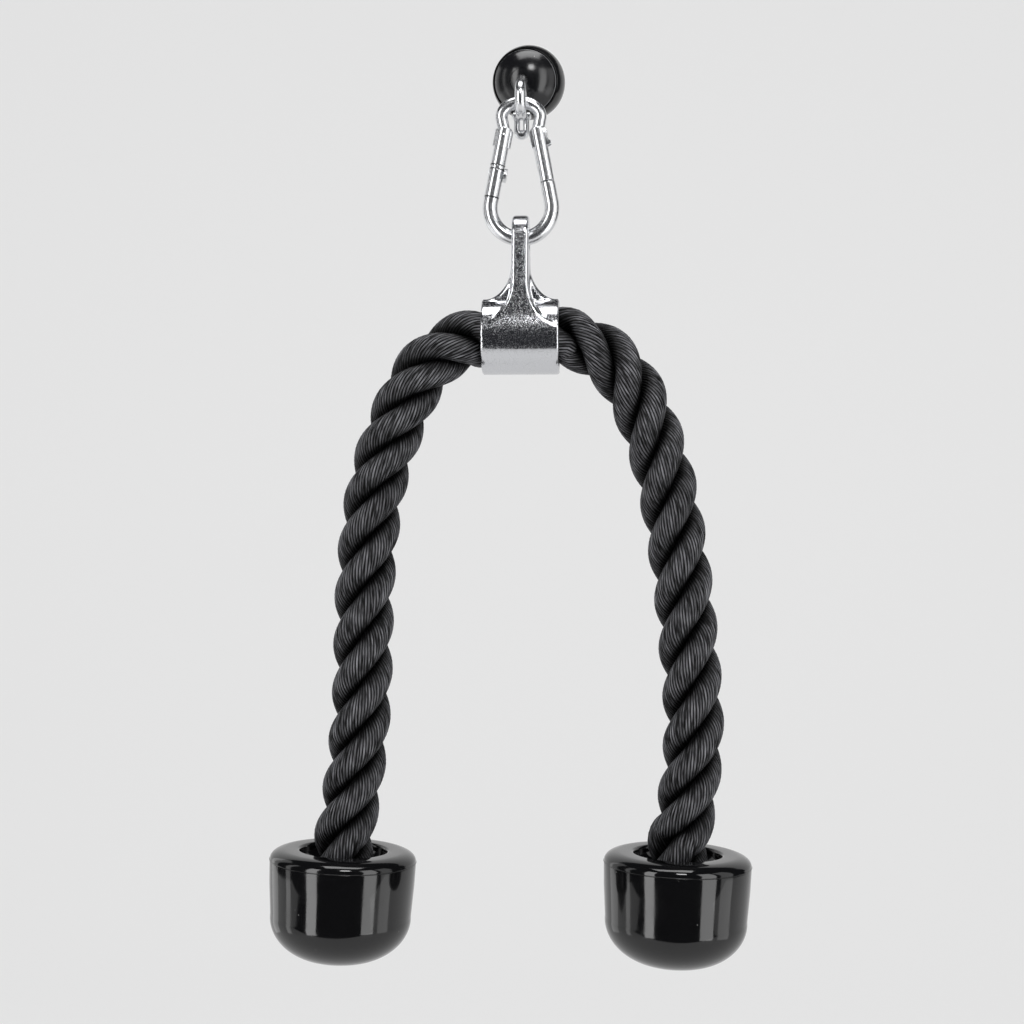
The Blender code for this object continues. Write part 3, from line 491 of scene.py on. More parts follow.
def gloss_rubber(name, colour, roughness, peel=0.06):
    """Moulded gloss black: a faint orange peel, fine dust that dulls the shine, and pale specks."""
    made, tree, shader = new_material(name, colour, roughness, IOR=1.5)
    place = add(tree, "ShaderNodeTexCoord").outputs["Object"]
    # Orange peel 3 mm across
    skin = add(tree, "ShaderNodeTexNoise", {"Scale": 350, "Detail": 2}, Vector=place)
    dust = add(tree, "ShaderNodeTexNoise", {"Scale": 60, "Detail": 5, "Roughness": 0.7}, Vector=place)
    rough = add(tree, "ShaderNodeMapRange",
                {"From Min": 0.35, "From Max": 0.75, "To Min": roughness, "To Max": roughness + 0.12},
                Value=dust)
    # Specks 0.3 mm across, a few in each square centimetre
    cells = add(tree, "ShaderNodeTexVoronoi", {"Scale": 300}, Vector=place)
    few = add(tree, "ShaderNodeTexNoise", {"Scale": 90, "Detail": 1}, Vector=place)
    near = add(tree, "ShaderNodeMapRange", {"From Min": 0.04, "From Max": 0.09, "To Min": 1, "To Max": 0},
               Value=cells.outputs["Distance"])
    where = add(tree, "ShaderNodeMapRange", {"From Min": 0.62, "From Max": 0.66}, Value=few)
    speck = add(tree, "ShaderNodeMath", {"operation": "MULTIPLY"}, i0=near, i1=where)
    tint = add(tree, "ShaderNodeMix", {"data_type": "RGBA"}, i0=speck)
    tint.inputs[6].default_value = colour
    tint.inputs[7].default_value = linear("#9a9a98")
    bump = add(tree, "ShaderNodeBump", {"Strength": peel, "Distance": 0.05 * MM}, Height=skin)
    join(shader, Base_Color=tint.outputs[2], Roughness=rough, Normal=bump)
    return made


def rope_fibre(colour):
    """Spun nylon yarn: black, with fine filaments, a grey sheen painted along each yarn as a painted
    highlight, and painted shade between yarns and strands.
    """
    made, tree, shader = new_material("Spun nylon yarn", colour, 0.5, Specular_IOR_Level=0.14)
    uv = add(tree, "ShaderNodeUVMap", {"uv_map": "UVMap"})
    # u counts yarns and v counts 10 mm along. Each yarn is painted palest along its crest, a painted
    # highlight, and painted dark in the grooves between yarns, a painted shade
    parts = add(tree, "ShaderNodeSeparateXYZ", i0=uv)
    crest = add(tree, "ShaderNodeMath", {"operation": "PINGPONG", 1: 0.5}, i0=parts)
    yarn_crest_light = add(tree, "ShaderNodeMapRange",
               {"From Min": 0.1, "From Max": 0.34, "To Min": 0.02, "To Max": 1.0}, Value=crest)
    # Painted glints: pale strokes half a yarn wide and 5 mm long, where fibres would catch the light
    yarn = add(tree, "ShaderNodeMapping", {"Scale": (1.7, 2.0, 1)}, Vector=uv)
    glint_noise = add(tree, "ShaderNodeTexNoise", {"Scale": 1, "Detail": 2}, Vector=yarn)
    painted_glints = add(tree, "ShaderNodeMapRange",
                 {"From Min": 0.36, "From Max": 0.68, "To Min": 0.1, "To Max": 4.6}, Value=glint_noise)
    # Filaments a fifth of a yarn wide
    stretch = add(tree, "ShaderNodeMapping", {"Scale": (5, 1.6, 1)}, Vector=uv)
    filament = add(tree, "ShaderNodeTexNoise", {"Scale": 1, "Detail": 2, "Roughness": 0.6},
                   Vector=stretch)
    thread = add(tree, "ShaderNodeMapRange",
                 {"From Min": 0.3, "From Max": 0.7, "To Min": 0.5, "To Max": 1.4}, Value=filament)
    # Painted shade: the grooves between strands are painted dark from the attribute outside, and the
    # outside of the rope stays pale
    outside = add(tree, "ShaderNodeAttribute", {"attribute_name": "outside"})
    groove_shade = add(tree, "ShaderNodeMapRange",
                    {"From Min": 0.1, "From Max": 0.95, "To Min": 0.06, "To Max": 1.15},
                    Value=outside.outputs["Fac"])
    # The painted crest light, painted glints, filament tone and painted groove shade multiply the fibre's
    # colour
    shade = yarn_crest_light
    for factor in (painted_glints, thread, groove_shade):
        shade = add(tree, "ShaderNodeMath", {"operation": "MULTIPLY"}, i0=shade, i1=factor)
    tint = add(tree, "ShaderNodeMix", {"data_type": "RGBA", "blend_type": "MULTIPLY", 0: 1.0}, i7=shade)
    tint.inputs[6].default_value = colour
    rough = add(tree, "ShaderNodeMapRange", {"To Min": 0.62, "To Max": 0.36}, Value=filament)
    bump = add(tree, "ShaderNodeBump", {"Strength": 0.8, "Distance": 0.3 * MM}, Height=filament)
    join(shader, Base_Color=tint.outputs[2], Roughness=rough, Normal=bump)
    return made


# Rope

# Where the rope runs straight: out from the barrel's middle, and over a cap's seam down to its end
STRAIGHT_OUT = (0.2, 10, 20.65, 24.65)
IN_CAP = (12.6, 6, -2.7, -20, -40)
ROW_STEP = 1.5 * MM
# A strand's radius as a share of the rope's, and how often its yarns turn back in each lay
STRAND_SHARE, YARN_TURNS = 0.445, 2.8


def rope_path(route, side, seam, tilt):
    """The rope's centreline from the barrel's middle through its mouth and route into the cap."""
    up = np.array([sin(tilt), 0, cos(tilt)])
    out = [*((x, 0) for x in STRAIGHT_OUT), *route]
    line = [BARREL_PLACE + np.array([side * x, 0, z]) * MM for x, z in out]
    line += [seam + up * h * MM for h in IN_CAP]
    return smooth_line(line, ROW_STEP)


def laid_rope(name, line, run, sizes, first_turn):
    """Three strands laid right-handed round the line, each with raised yarns.

    A strand's middle is line + h (cos t, sin t) in the frame across the line, with t = first +
    2 pi run / lay + 120 degrees for each strand. Its section is a circle square to the strand,
    whose radius rises over each yarn, and the yarns turn back in each lay, so that they run
    nearly along the rope. The attribute "outside" is the cosine of the angle from the outside.
    """
    radius = sizes.diameter / 2
    thick = radius * STRAND_SHARE
    helix = radius - thick
    per_yarn = 4
    columns = sizes.yarns * per_yarn
    along = unit(np.gradient(line, axis=0))
    across = unit(np.cross((0, 1, 0), along))
    depth = np.cross(along, across)
    turn = first_turn + TAU * run / sizes.lay
    t = turn[:, None] + np.arange(3) * TAU / 3
    radial = np.cos(t)[..., None] * across[:, None] + np.sin(t)[..., None] * depth[:, None]
    middle = line[:, None] + helix * radial
    side = unit(np.cross(unit(np.gradient(middle, axis=0)), radial))
    psi = np.arange(columns) * TAU / columns
    phi = psi - YARN_TURNS * turn[:, None]
    phase = (np.arange(columns) % per_yarn) / per_yarn
    # The power makes the yarns' crests broad
    ridge = np.sin(pi * phase) ** 0.7
    size = thick - sizes.yarn_depth * (1 - ridge)
    strands = (
        middle[:, :, None]
        + (size * np.cos(phi))[:, None, :, None] * radial[:, :, None]
        + (size * np.sin(phi))[:, None, :, None] * side[:, :, None]
    ).transpose(1, 0, 2, 3)
    u = (np.arange(columns)[:, None] + (0, 1, 1, 0)) / per_yarn
    v = np.stack([run[:-1], run[:-1], run[1:], run[1:]], -1) / (10 * MM)
    uv = np.stack(np.broadcast_arrays(u[None], v[:, None]), -1).reshape(-1, 2)
    points, quads, fans = merged([shell(strand) for strand in strands])
    all_uv = np.concatenate([np.tile(uv, (3, 1)), np.zeros((fans.size, 2))])
    made = make_mesh(name, points, quads, fans, all_uv, sharp=None)
    # The two points that each strand's fans meet in count as its outside
    outside = np.tile(np.append(np.cos(phi), (1, 1)), 3)
    layer = made.data.attributes.new("outside", "FLOAT", "POINT")
    layer.data.foreach_set("value", outside.astype(np.float32))
    return face_up(made)


class ROPE_OT_rope(bpy.types.Operator):
    """Makes both legs of the laid rope"""
    bl_idname = "rope.rope"
    bl_label = "Laid rope"

    def execute(self, context):
        sizes = context.scene.rope_sizes
        fibre = rope_fibre(sizes.colour)
        # The last number is the angle at which the first strand starts
        for name, route, side, seam, tilt, first_turn in (
            ("left", LEFT_ROUTE_MM, -1, LEFT_SEAM, LEFT_TILT, 1.45),
            ("right", RIGHT_ROUTE_MM, 1, RIGHT_SEAM, RIGHT_TILT, 1.43),
        ):
            line, run = rope_path(route, side, seam, tilt)
            made = laid_rope(f"laid_rope_{name}", line, run, sizes, first_turn)
            dress(fibre, made)
            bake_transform(made)
            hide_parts(f"rope_{name}_bend", f"rope_{name}_leg", f"rope_{name}_end")
            if name == "left":
                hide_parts("rope_in_yoke")
        return {"FINISHED"}


# Caps

class ROPE_OT_caps(bpy.types.Operator):
    """Makes the cup and cover of both caps"""
    bl_idname = "rope.caps"
    bl_label = "Caps"

    def execute(self, context):
        sizes = context.scene.cap_sizes
        moulding = gloss_rubber("Gloss black moulded cap", sizes.colour, 0.05)
        radius, depth = sizes.diameter / 2, sizes.depth
        draft, edge, columns = 1.4 * MM, 0.3 * MM, 128
        well, well_depth = 33.3 * MM, 7 * MM
        plug, plug_depth, bore = 33 * MM, 6 * MM, 16.6 * MM
        foot_across, foot_up = 29.5 * MM, 23 * MM
        crown_across, crown_up = 8.4 * MM, 5 * MM
        # The mouth's lip, and the dish from it down to the rope
        lip_out, lip, dish_out, dish = 24.6 * MM, 1.6 * MM, 15.6 * MM, 7.3 * MM
        # The cover stands proud at its foot by a fine parting line
        height, proud, bead, parting = 5.8 * MM, 0.25 * MM, 0.2 * MM, 0.05 * MM
        for name, seam, tilt in (("left", LEFT_SEAM, LEFT_TILT), ("right", RIGHT_SEAM, RIGHT_TILT)):
            turn = Matrix.Rotation(tilt, 4, "Y")
            cup = lathe(f"{name}_cup_moulding", [
                (well, -well_depth),
                (well, 0),
                (radius - edge, 0),
                *arc((radius - edge, -edge), edge, 80, 0, 4),
                (radius - draft / 4, -12 * MM),
                *oval((radius - draft - foot_across, foot_up - depth), foot_across, foot_up, 4, -90, 28),
            ], columns, seam, turn, closed=False)
            cover = lathe(f"{name}_cover_moulding", [
                (bore, -plug_depth),
                (plug, -plug_depth),
                (plug, parting),
                (radius - edge, parting),
                *arc((radius + proud - bead, proud), bead, -80, 90, 6),
                *oval((radius - 8.5 * MM, height - crown_up), crown_across, crown_up, 2, 88, 20),
                *arc((lip_out, height - lip), lip, 90, 170, 8),
                *arc((dish_out, height - 2.2 * MM), dish, 0, -78, 10),
                (bore, -2.6 * MM),
            ], columns, seam, turn)
            for made, node in ((cup, "cup"), (cover, "cover")):
                dress(moulding, made)
                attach(made, f"{name}_leg")
                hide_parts(f"{name}_cap_{node}")
        return {"FINISHED"}


# Ball and metal

class ROPE_OT_ball(bpy.types.Operator):
    """Makes the ball stop and its domed face"""
    bl_idname = "rope.ball"
    bl_label = "Ball stop"

    def execute(self, context):
        rubber = gloss_rubber("Gloss black ball rubber", linear("#0b0b0c"), 0.15)
        satin = gloss_rubber("Satin black ball face", linear("#131315"), 0.17)
        turn = Vector(BALL_FRONT).to_track_quat("Z", "Y").to_matrix()
        big, face, hole, back = 20 * MM, 17.3 * MM, 3.2 * MM, 19 * MM
        lip, gap, columns = 0.6 * MM, 0.3 * MM, 96
        rim, rear = sqrt(big**2 - face**2), sqrt(big**2 - back**2)
        at = np.degrees(np.arctan2(rim, face))
        pocket, foot = rim - 4 * MM, 6.2 * MM
        body = lathe("ball_moulding", [
            (face, pocket),
            (face, rim - lip),
            *arc((face + lip, rim - lip), lip, 180, 60, 4),
            *arc((0, 0), big, at - 2, -np.degrees(np.arctan2(back, rear)), 40),
            (hole, -back),
            (hole, pocket),
        ], columns, BALL_CENTRE, turn)
        # The face has a fine sunk ring round the eye's shank, 71 degrees up, and a pale rim line 0.9 wide
        # that is a painted highlight
        edge, line = face - gap, 0.45 * MM
        dome = lathe("ball_face_moulding", [
            (hole, 12 * MM),
            *arc((0, 0), big, 80.8, 71.6, 6),
            *arc((0, 0), big - gap, 71.2, 70.2, 2),
            *arc((0, 0), big, 69.8, np.degrees(np.arctan2(rim, edge)) + 2.4, 22),
            *arc((edge - lip, rim + line - lip), lip, 75, 0, 6),
            (edge, foot),
            (hole, foot),
        ], columns, BALL_CENTRE, turn)
        # A pale grey ring on the face's rim paints the highlight that its edge would catch
        rim_highlight = gloss_rubber("Painted highlight on the rim of the ball's face", linear("#6f7072"), 0.2)
        rim_line = lathe("ball_face_rim", arc((edge - line, rim + 0.1 * MM), line, 0, 345, 16),
                         columns, BALL_CENTRE, turn)
        for made, node, look in (
            (body, "ball_stop", rubber), (dome, "ball_face", satin), (rim_line, "ball_face", rim_highlight),
        ):
            dress(look, made)
            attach(made, "ball")
            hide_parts(node)
        return {"FINISHED"}


HOOK_WIRE, TOP_WIRE, EYE_WIRE = 4.0, 3.3, 2.9
LOW_RADIUS, LOW_CENTRE = 16.4, -56.3
RIVET_OUT, RIVET_DOWN = 9.4, -18.4
SPAN = hypot(RIVET_OUT, LOW_CENTRE - RIVET_DOWN)
LEAN = np.arcsin(LOW_RADIUS / SPAN) - atan2(RIVET_OUT, RIVET_DOWN - LOW_CENTRE)
GATE_LENGTH = 24.3
FLANK_OUT, FLANK_DEEP = 4.9, 2.7
FLANK_TOP, FLANK_FOOT = -3.6, 5.8
FORK_HALF, FORK_DEPTH = 1.8, 5.2
LATCH_HALF, LATCH_DEPTH = 1.5, 6.4
BORE, BORE_END = 2.4, 16.0
# Where the spine and the gate start, and each seam of the spine: how far along it, and how deep
BAR_START = -4.6
SPINE_SEAMS = ((20.2, 0.5), (22.4, 0.5), (37.5, 1.2))
SEAM_WIRE = 0.24
# How far apart the rows of a bar stand, and how far its ends are rounded
BAR_STEP, BAR_EDGE = 0.8, 0.5


def on_bar(side, below):
    """A point of the left or right bar, in millimetres below its rivet, across and up."""
    return side * (RIVET_OUT + below * sin(LEAN)), RIVET_DOWN - below * cos(LEAN)


def level(points):
    """Points across and up, at the middle depth of the hook."""
    return np.array([(x, 0, z) for x, z in points])


def beside_rivet(shape):
    """Points given across the gate's bar and up along it from its rivet, turned with its lean."""
    x0, z0 = on_bar(1, 0)
    return [(x0 + x * cos(LEAN) - z * sin(LEAN), z0 + x * sin(LEAN) + z * cos(LEAN)) for x, z in shape]


def neck_outline():
    """The thin neck between the gate's cheeks, with a flat foot that the plunger presses on."""
    right = [(3.2, 4.5), (3.6, 2.0), (3.6, -2.4), (2.4, -3.6)]
    return beside_rivet(right + [(-x, z) for x, z in reversed(right)])


def flank_outline():
    """The flat flanks beside the gate's head, with a small corner left standing at the outer foot."""
    out, top, foot = FLANK_OUT, -FLANK_TOP, -FLANK_FOOT
    return beside_rivet([
        (out, top - 1), (out - 1, top), (1 - out, top), (-out, top - 1), (-out, foot + 1), (1 - out, foot),
        (out - 0.6, foot), (out + 1.1, foot + 0.4), (out + 1.1, foot + 2.2), (out, foot + 2.8),
    ])


def hook_body():
    """The bent bar: a thin bow, the neck, the spine on the left and the wide bow to the nose."""
    half, rise, foot = 10.4, 8, -2.6
    top = [(half * sin(t), rise * (cos(t) - 1)) for t in np.radians(np.linspace(90, -90, 49))]
    path, run = resampled(level([on_bar(1, foot), *top, on_bar(-1, foot)]), BAR_STEP)
    thin = TOP_WIRE - end_rounding(run, BAR_EDGE)
    bow = sweep(path, (0, 1, 0), thin, thin)
    lean = np.degrees(LEAN)
    low = arc((0, LOW_CENTRE), LOW_RADIUS, 180 - lean, 360 + lean, 60)
    path, run = resampled(
        level([on_bar(-1, BAR_START), on_bar(-1, 4), *low, on_bar(1, GATE_LENGTH + 0.6)]), BAR_STEP,
        extra=[below for below, _ in SPINE_SEAMS])
    thick = HOOK_WIRE - (end_rounding(run, BAR_EDGE) + groove(run, SPINE_SEAMS, SEAM_WIRE))
    bar = sweep(path, (0, 1, 0), thick, thick)
    path, run = resampled(level([on_bar(-1, FLANK_TOP), on_bar(-1, FLANK_FOOT)]), BAR_STEP)
    less = end_rounding(run, BAR_EDGE)
    flank = sweep(path, (0, 1, 0), FLANK_OUT - less, FLANK_DEEP - less)
    neck = slab(neck_outline(), -1.5, 1.5, 0.3)
    # The nose's tongue, which the gate's slot goes over, with a notch for the latch pin
    half, top, foot, pin, notch = 2.7, -18.5, -27, -21.9, 1.5
    tongue = slab(beside_rivet([
        (-half, foot), (half, foot), (half, top), (-half, top), (-half, pin + notch),
        *arc((-half, pin), notch, 90, -90, 8), (-half, pin - notch),
    ]), -1.2, 1.2, 0.2)
    # A small rivet through the spine, as deep as the bar
    x, z = on_bar(-1, 0)
    rivet_path = [(x, y, z) for y in (-4.15, -4.05, -3.9, 0, 3.9, 4.05, 4.15)]
    rounded = [0.9, 1.15, 1.2, 1.2, 1.2, 1.15, 0.9]
    dot = sweep(rivet_path, (1, 0, 0), rounded, rounded)
    return joined("hook_bar", [bow, bar, flank, neck, tongue, dot], BOW_PLACE)


def spine_seam_shade():
    """Thin dark rings in the seams of the hook's spine: painted shade where the seams would fall dark."""
    down = np.array([-sin(LEAN), 0, -cos(LEAN)])
    t = np.arange(48)[:, None] * TAU / 48
    ring = np.cos(t) * np.cross(down, (0, 1, 0)) + np.sin(t) * np.array([0, 1, 0])
    proud = 0.03
    reach = HOOK_WIRE + proud - SEAM_WIRE
    return joined("spine_seams", [
        sweep(level([on_bar(-1, BAR_START + far)])[0] + reach * ring, down, SEAM_WIRE, SEAM_WIRE,
              columns=12, closed=True)
        for far, _ in SPINE_SEAMS
    ], BOW_PLACE)


def hook_gate():
    """The gate: a bored round bar, forked at its head, with flanks, and slotted at its foot."""
    down = np.array([sin(LEAN), 0, -cos(LEAN)])
    slot = GATE_LENGTH - LATCH_DEPTH
    profile = [
        (BORE / 2, BORE_END), (BORE, BORE_END), (BORE, FORK_DEPTH), (HOOK_WIRE, FORK_DEPTH),
        (HOOK_WIRE, slot), (HOOK_WIRE / 2, slot),
    ]
    parts = [turned(profile, level([on_bar(1, 0)])[0], down, (0, 1, 0))]
    for facing in (-1, 1):
        for first, last, cut in (
            (BAR_START, FORK_DEPTH + 0.1, FORK_HALF), (GATE_LENGTH, slot - 0.1, LATCH_HALF),
        ):
            path, run = resampled(level([on_bar(1, first), on_bar(1, last)]), BAR_STEP)
            radius = HOOK_WIRE - end_rounding(run, BAR_EDGE, both=False)
            parts.append(sweep(path, (0, facing, 0), radius, radius, cut=cut))
        near, far = sorted((facing * FORK_HALF, facing * FLANK_DEEP))
        parts.append(slab(flank_outline(), near, far, 0.3))
    return joined("hook_gate", parts, BOW_PLACE)


def cable_eye():
    """The eye: a closed loop round the bow, its shank into the ball and the heel."""
    t = np.arange(64) * TAU / 64
    half_deep, half_tall, middle = 8.9, 7.9, 1.4
    ring = np.stack([0 * t, half_deep * np.sin(t), middle + half_tall * np.cos(t)], -1)
    loop = sweep(ring, (1, 0, 0), EYE_WIRE, EYE_WIRE, closed=True)
    bow = BOW_PLACE / MM
    pole, inner = BALL_POLE / MM - bow, (BALL_CENTRE + BALL_FRONT * 2 * MM) / MM - bow
    top = np.array([0, 0, middle + half_tall])
    line, _ = smooth_line(np.array([inner, pole, (pole + top) / 2 + (0, 0, 0.3), top]) * MM, BAR_STEP * MM)
    shank = sweep(line / MM, (1, 0, 0), EYE_WIRE, EYE_WIRE)
    # The heel is an upright link behind the loop, thicker round its foot, with a lug across it
    behind, bend, low, high, slim = 7.4, 2.5, -13.0, -6.0, 1.7
    under, over = (np.radians(np.linspace(first, first + 180, 25)) for first in (180, 0))
    link = [(bend * cos(a), behind, low + bend * sin(a)) for a in under]
    link += [(bend * cos(a), behind, high + bend * sin(a)) for a in over]
    thick = np.concatenate([slim + np.sin(under) ** 2, np.full(len(over), slim)])
    heel = sweep(link, (0, 1, 0), thick, 2.3, closed=True)
    path, run = resampled([(x, behind, high + 0.6) for x in (-5.2, 5.2)], BAR_STEP)
    less = end_rounding(run, 1.2)
    lug = sweep(path, (0, 1, 0), 2.0 - less, 2.2 - less)
    return joined("eye_bar", [loop, shank, heel, lug], BOW_PLACE)


def yoke_field(x, y, z):
    """The distance to the yoke's skin, in millimetres from the middle of the hook's low bow.

    Seen from the side, the casting fills the hull of the eye's circle and the barrel's. Its band
    is 9 wide and flares on a circle of 28.4. A web, 15 deep, flares sooner on an ellipse. The
    barrel is added, and the rope's bore and the eye's flared hole are taken away.
    """
    deep, wide, up = np.abs(y), np.abs(x), z + BARREL_DROP_MM
    # The hull: its low and high circle, and how far apart they are
    low, high, apart = 19.1, 12.8, 52
    slope = (low - high) / apart
    rise = sqrt(1 - slope**2)
    along = rise * up - slope * deep
    hull = np.where(along < 0, np.hypot(deep, up) - low, np.where(
        along > rise * apart, np.hypot(deep, up - apart) - high, rise * deep + slope * up - low))
    half, barrel_radius, barrel_half, bore = 4.5, 19.5, 20.35, 16.5
    web_half, web_out, web_top, web_foot = 7.5, 19.6, -8, -52
    # The band keeps its width down to where it starts to flare, and so does the web
    start, circle = -24, 28.4
    flare = np.where(z > start, wide - half, circle - np.hypot(wide - half - circle, z - start))
    band = smooth_most(hull, np.maximum(flare, wide - barrel_radius), 2.2)
    # The web's ellipse is brought near to a distance by the scale
    start, across, down, scale = -11.6, 15, 21.5, 14
    oblong = scale - scale * np.hypot((wide - half - across) / across, (z - start) / down)
    spread = np.where(z > start, wide - half, oblong)
    web = smooth_most(smooth_most(spread, deep - web_half, 3.0), z - web_top, 2.0)
    web = np.maximum(web, np.maximum(wide - web_out, web_foot - z))
    barrel = smooth_most(np.hypot(y, up) - barrel_radius, wide - barrel_half, 1.2)
    body = smooth_least(smooth_least(band, web, 1.5), barrel, 1.5)
    # The eye's hole, a little below the bow's middle, widens at its mouths
    radius, widening, below = 5.6, 1.6, 0.6
    mouth = widening * (1 - np.sqrt(1 - np.minimum(wide / half, 1) ** 2))
    body = smooth_most(body, radius + mouth - np.hypot(y, z + below), 0.6)
    return smooth_most(body, bore - np.hypot(y, up), 0.8)


class ROPE_OT_metal(bpy.types.Operator):
    """Makes the spring hook with its seams and spring, the eye and the cast yoke"""
    bl_idname = "rope.metal"
    bl_label = "Metal"

    def execute(self, context):
        colours = context.scene.metal_colours
        steel = plated_steel(colours.plating)
        casting = chrome_casting(colours.casting)
        # The dark seam rings are painted shade
        seam_shade = gloss_rubber("Painted shade in a seam", linear("#141415"), 0.45)
        low, high, cell = (-22, -21, -74), (22, 21, 14), 0.5
        yoke = joined("yoke_casting", [zero_surface(yoke_field, low, high, cell)], YOKE_PLACE, sharp=60)
        for made, look, body, node, slot in (
            (hook_body(), steel, "hook", "carabiner_body", "plated_steel"),
            (spine_seam_shade(), seam_shade, "hook", "carabiner_body", "plated_steel"),
            (hook_gate(), steel, "gate", "carabiner_gate", "plated_steel"),
            (cable_eye(), steel, "eye", "cable_eye", "plated_steel"),
            (yoke, casting, "yoke", "yoke", "chrome_casting"),
        ):
            dress(look, made)
            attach(made, body)
            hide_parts(node)
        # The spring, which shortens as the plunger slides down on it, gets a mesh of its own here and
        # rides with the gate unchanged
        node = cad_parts["gate_spring"]
        spring = bpy.data.objects.new("gate_coil_spring", node.data.copy())
        spring.data.transform(node.matrix_world)
        context.scene.collection.objects.link(spring)
        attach(spring, "gate")
        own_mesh(spring)
        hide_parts("gate_spring")
        dress(plated_steel(linear("#a9aaad")), spring)
        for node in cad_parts.values():
            if not node.hide_render:
                dress(steel, node)
        return {"FINISHED"}


# Stage

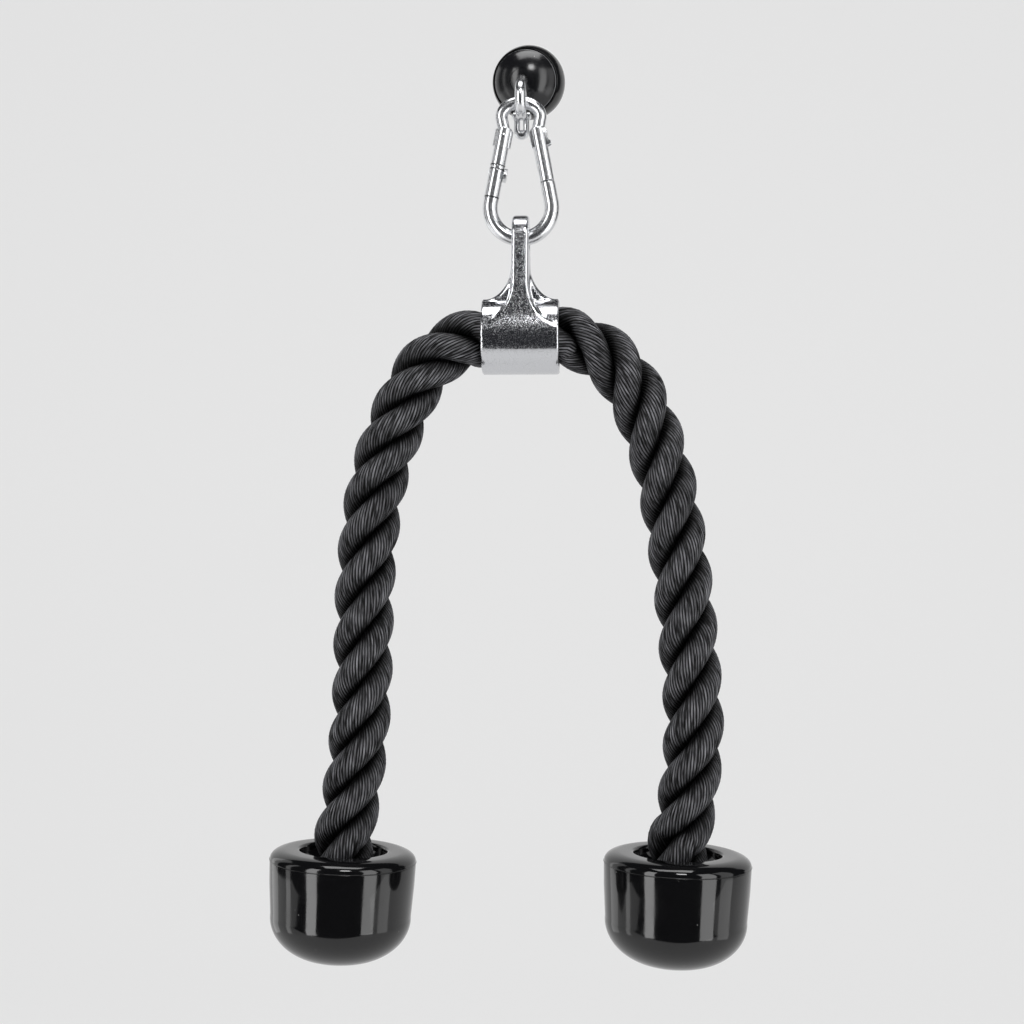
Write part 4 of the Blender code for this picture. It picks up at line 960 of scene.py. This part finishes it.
class ROPE_OT_stage(bpy.types.Operator):
    """Makes the backdrop, lights and camera"""
    bl_idname = "rope.stage"
    bl_label = "Stage"

    def execute(self, context):
        sizes = context.scene.stage_sizes
        scene = context.scene
        # The camera stands level with the middle of the legs, and looks up by less than a degree.
        # In its square picture the hook is at this column, and the camera's height at this row
        eye_height, pixel, picture = -0.2532, 0.00053, 1024
        hook, column, row = -0.00564, 521, 535
        aside, up = (picture / 2 - column) * pixel, (row - picture / 2) * pixel
        aim = Vector((hook + aside, BOW_PLACE[1], eye_height + up))
        back = Vector((sin(sizes.azimuth), -cos(sizes.azimuth), 0)) * sizes.distance
        place = Vector((aim.x + back.x, aim.y + back.y, eye_height))
        camera = bpy.data.cameras.new("camera")
        camera.sensor_width = 36
        camera.lens = camera.sensor_width * sizes.distance / pixel / picture
        holder = bpy.data.objects.new("camera", camera)
        holder.location = place
        holder.rotation_euler = (aim - place).to_track_quat("-Z", "Y").to_euler()
        scene.collection.objects.link(holder)
        scene.camera = holder

        # Floor and wall in one sweep: flat, a quarter circle, then upright
        floor, reach, bend = -1.0, 2.6, 0.9
        a = np.radians(np.linspace(0, 90, 17))
        section = np.array(
            [(-0.98, floor), (0.0, floor)]
            + [(reach - bend + bend * sin(t), floor + bend - bend * cos(t)) for t in a]
            + [(reach, 2.4)])
        points = np.array([[(x, *at) for x in (-4.0, 4.0)] for at in section])
        backdrop = make_mesh("backdrop", points, grid_faces(len(section), 2, close_columns=False)[:, ::-1])
        paper, tree, shader = new_material("Seamless paper", sizes.backdrop, 0.9)
        rays = add(tree, "ShaderNodeLightPath")
        seen = add(tree, "ShaderNodeMath", {"operation": "MAXIMUM"}, i0=rays.outputs["Is Camera Ray"],
                   i1=rays.outputs["Is Glossy Ray"])
        through = add(tree, "ShaderNodeMath", {"operation": "MAXIMUM"}, i0=seen,
                      i1=rays.outputs["Is Transmission Ray"])
        glow = add(tree, "ShaderNodeEmission", {"Color": sizes.backdrop, "Strength": 1.0})
        mixed = add(tree, "ShaderNodeMixShader", i0=through, i1=shader, i2=glow)
        half = add(tree, "ShaderNodeMixShader", {0: 0.8}, i1=shader, i2=mixed)
        out = next(n for n in tree.nodes if n.type == "OUTPUT_MATERIAL")
        join(out, Surface=half)
        dress(paper, backdrop)

        world = bpy.data.worlds.new("studio")
        world.use_nodes = True
        world.node_tree.nodes["Background"].inputs[0].default_value = linear("#313235")
        world.node_tree.nodes["Background"].inputs[1].default_value = 1.0
        scene.world = world
        scene.view_settings.view_transform = "Standard"
        # Azimuths are in degrees from the camera's, round the middle of the rope
        middle = Vector((0, BOW_PLACE[1], eye_height))
        for name, turn, rise, reach, size, power in (
            ("softbox_left", -46, 4.7, 1.25, (0.37, 1.7), 9.5),
            ("softbox_right", 46, 4.7, 1.25, (0.5, 1.7), 9),
            ("panel_right", 76, 4.7, 1.25, (0.5, 1.7), 3),
            ("panel_left", -87, 4.7, 1.25, (0.2, 1.7), 1.5),
            ("panel_far_left", -123, 4.7, 1.25, (0.5, 1.7), 2),
            ("softbox_front", 8, 42, 1.5, (0.35, 0.35), 6),
            ("softbox_top", 0, 86, 1.3, (0.9, 0.6), 8),
        ):
            light = bpy.data.lights.new(name, "AREA")
            light.shape, light.size, light.size_y, light.energy = "RECTANGLE", *size, power
            lamp = bpy.data.objects.new(name, light)
            round_to, up = radians(turn) + sizes.azimuth, radians(rise)
            way = Vector((sin(round_to) * cos(up), -cos(round_to) * cos(up), sin(up)))
            lamp.location = middle + reach * way
            lamp.rotation_euler = (middle - lamp.location).to_track_quat("-Z", "Y").to_euler()
            scene.collection.objects.link(lamp)
        return {"FINISHED"}


class ROPE_PT_panel(bpy.types.Panel):
    """Lists the sizes and the makers"""
    bl_idname = "ROPE_PT_panel"
    bl_label = "Rope attachment"
    bl_space_type = "VIEW_3D"
    bl_region_type = "UI"
    bl_category = "Rope"

    def draw(self, context):
        for group, names in GROUPS.items():
            box = self.layout.box()
            for name in names:
                box.prop(getattr(context.scene, group), name)
        for maker in MAKERS:
            self.layout.operator(maker.bl_idname)


GROUPS = {
    "rope_sizes": ("diameter", "lay", "yarns", "yarn_depth", "colour"),
    "cap_sizes": ("diameter", "depth", "colour"),
    "metal_colours": ("plating", "casting"),
    "stage_sizes": ("distance", "azimuth", "backdrop"),
}
GROUP_CLASSES = (RopeSizes, CapSizes, MetalColours, StageSizes)
MAKERS = (ROPE_OT_stage, ROPE_OT_rope, ROPE_OT_caps, ROPE_OT_ball, ROPE_OT_metal)


def register():
    """Adds the classes, and each group of sizes to the scene."""
    for kind in (*GROUP_CLASSES, *MAKERS, ROPE_PT_panel):
        bpy.utils.register_class(kind)
    for group, kind in zip(GROUPS, GROUP_CLASSES):
        setattr(bpy.types.Scene, group, bpy.props.PointerProperty(type=kind))


def unregister():
    """Takes the groups and classes away again."""
    for group in GROUPS:
        delattr(bpy.types.Scene, group)
    for kind in reversed((*GROUP_CLASSES, *MAKERS, ROPE_PT_panel)):
        bpy.utils.unregister_class(kind)


def main():
    """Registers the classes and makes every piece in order."""
    register()
    bpy.ops.rope.stage()
    bpy.ops.rope.rope()
    bpy.ops.rope.caps()
    bpy.ops.rope.ball()
    bpy.ops.rope.metal()


if __name__ == "__main__":
    main()
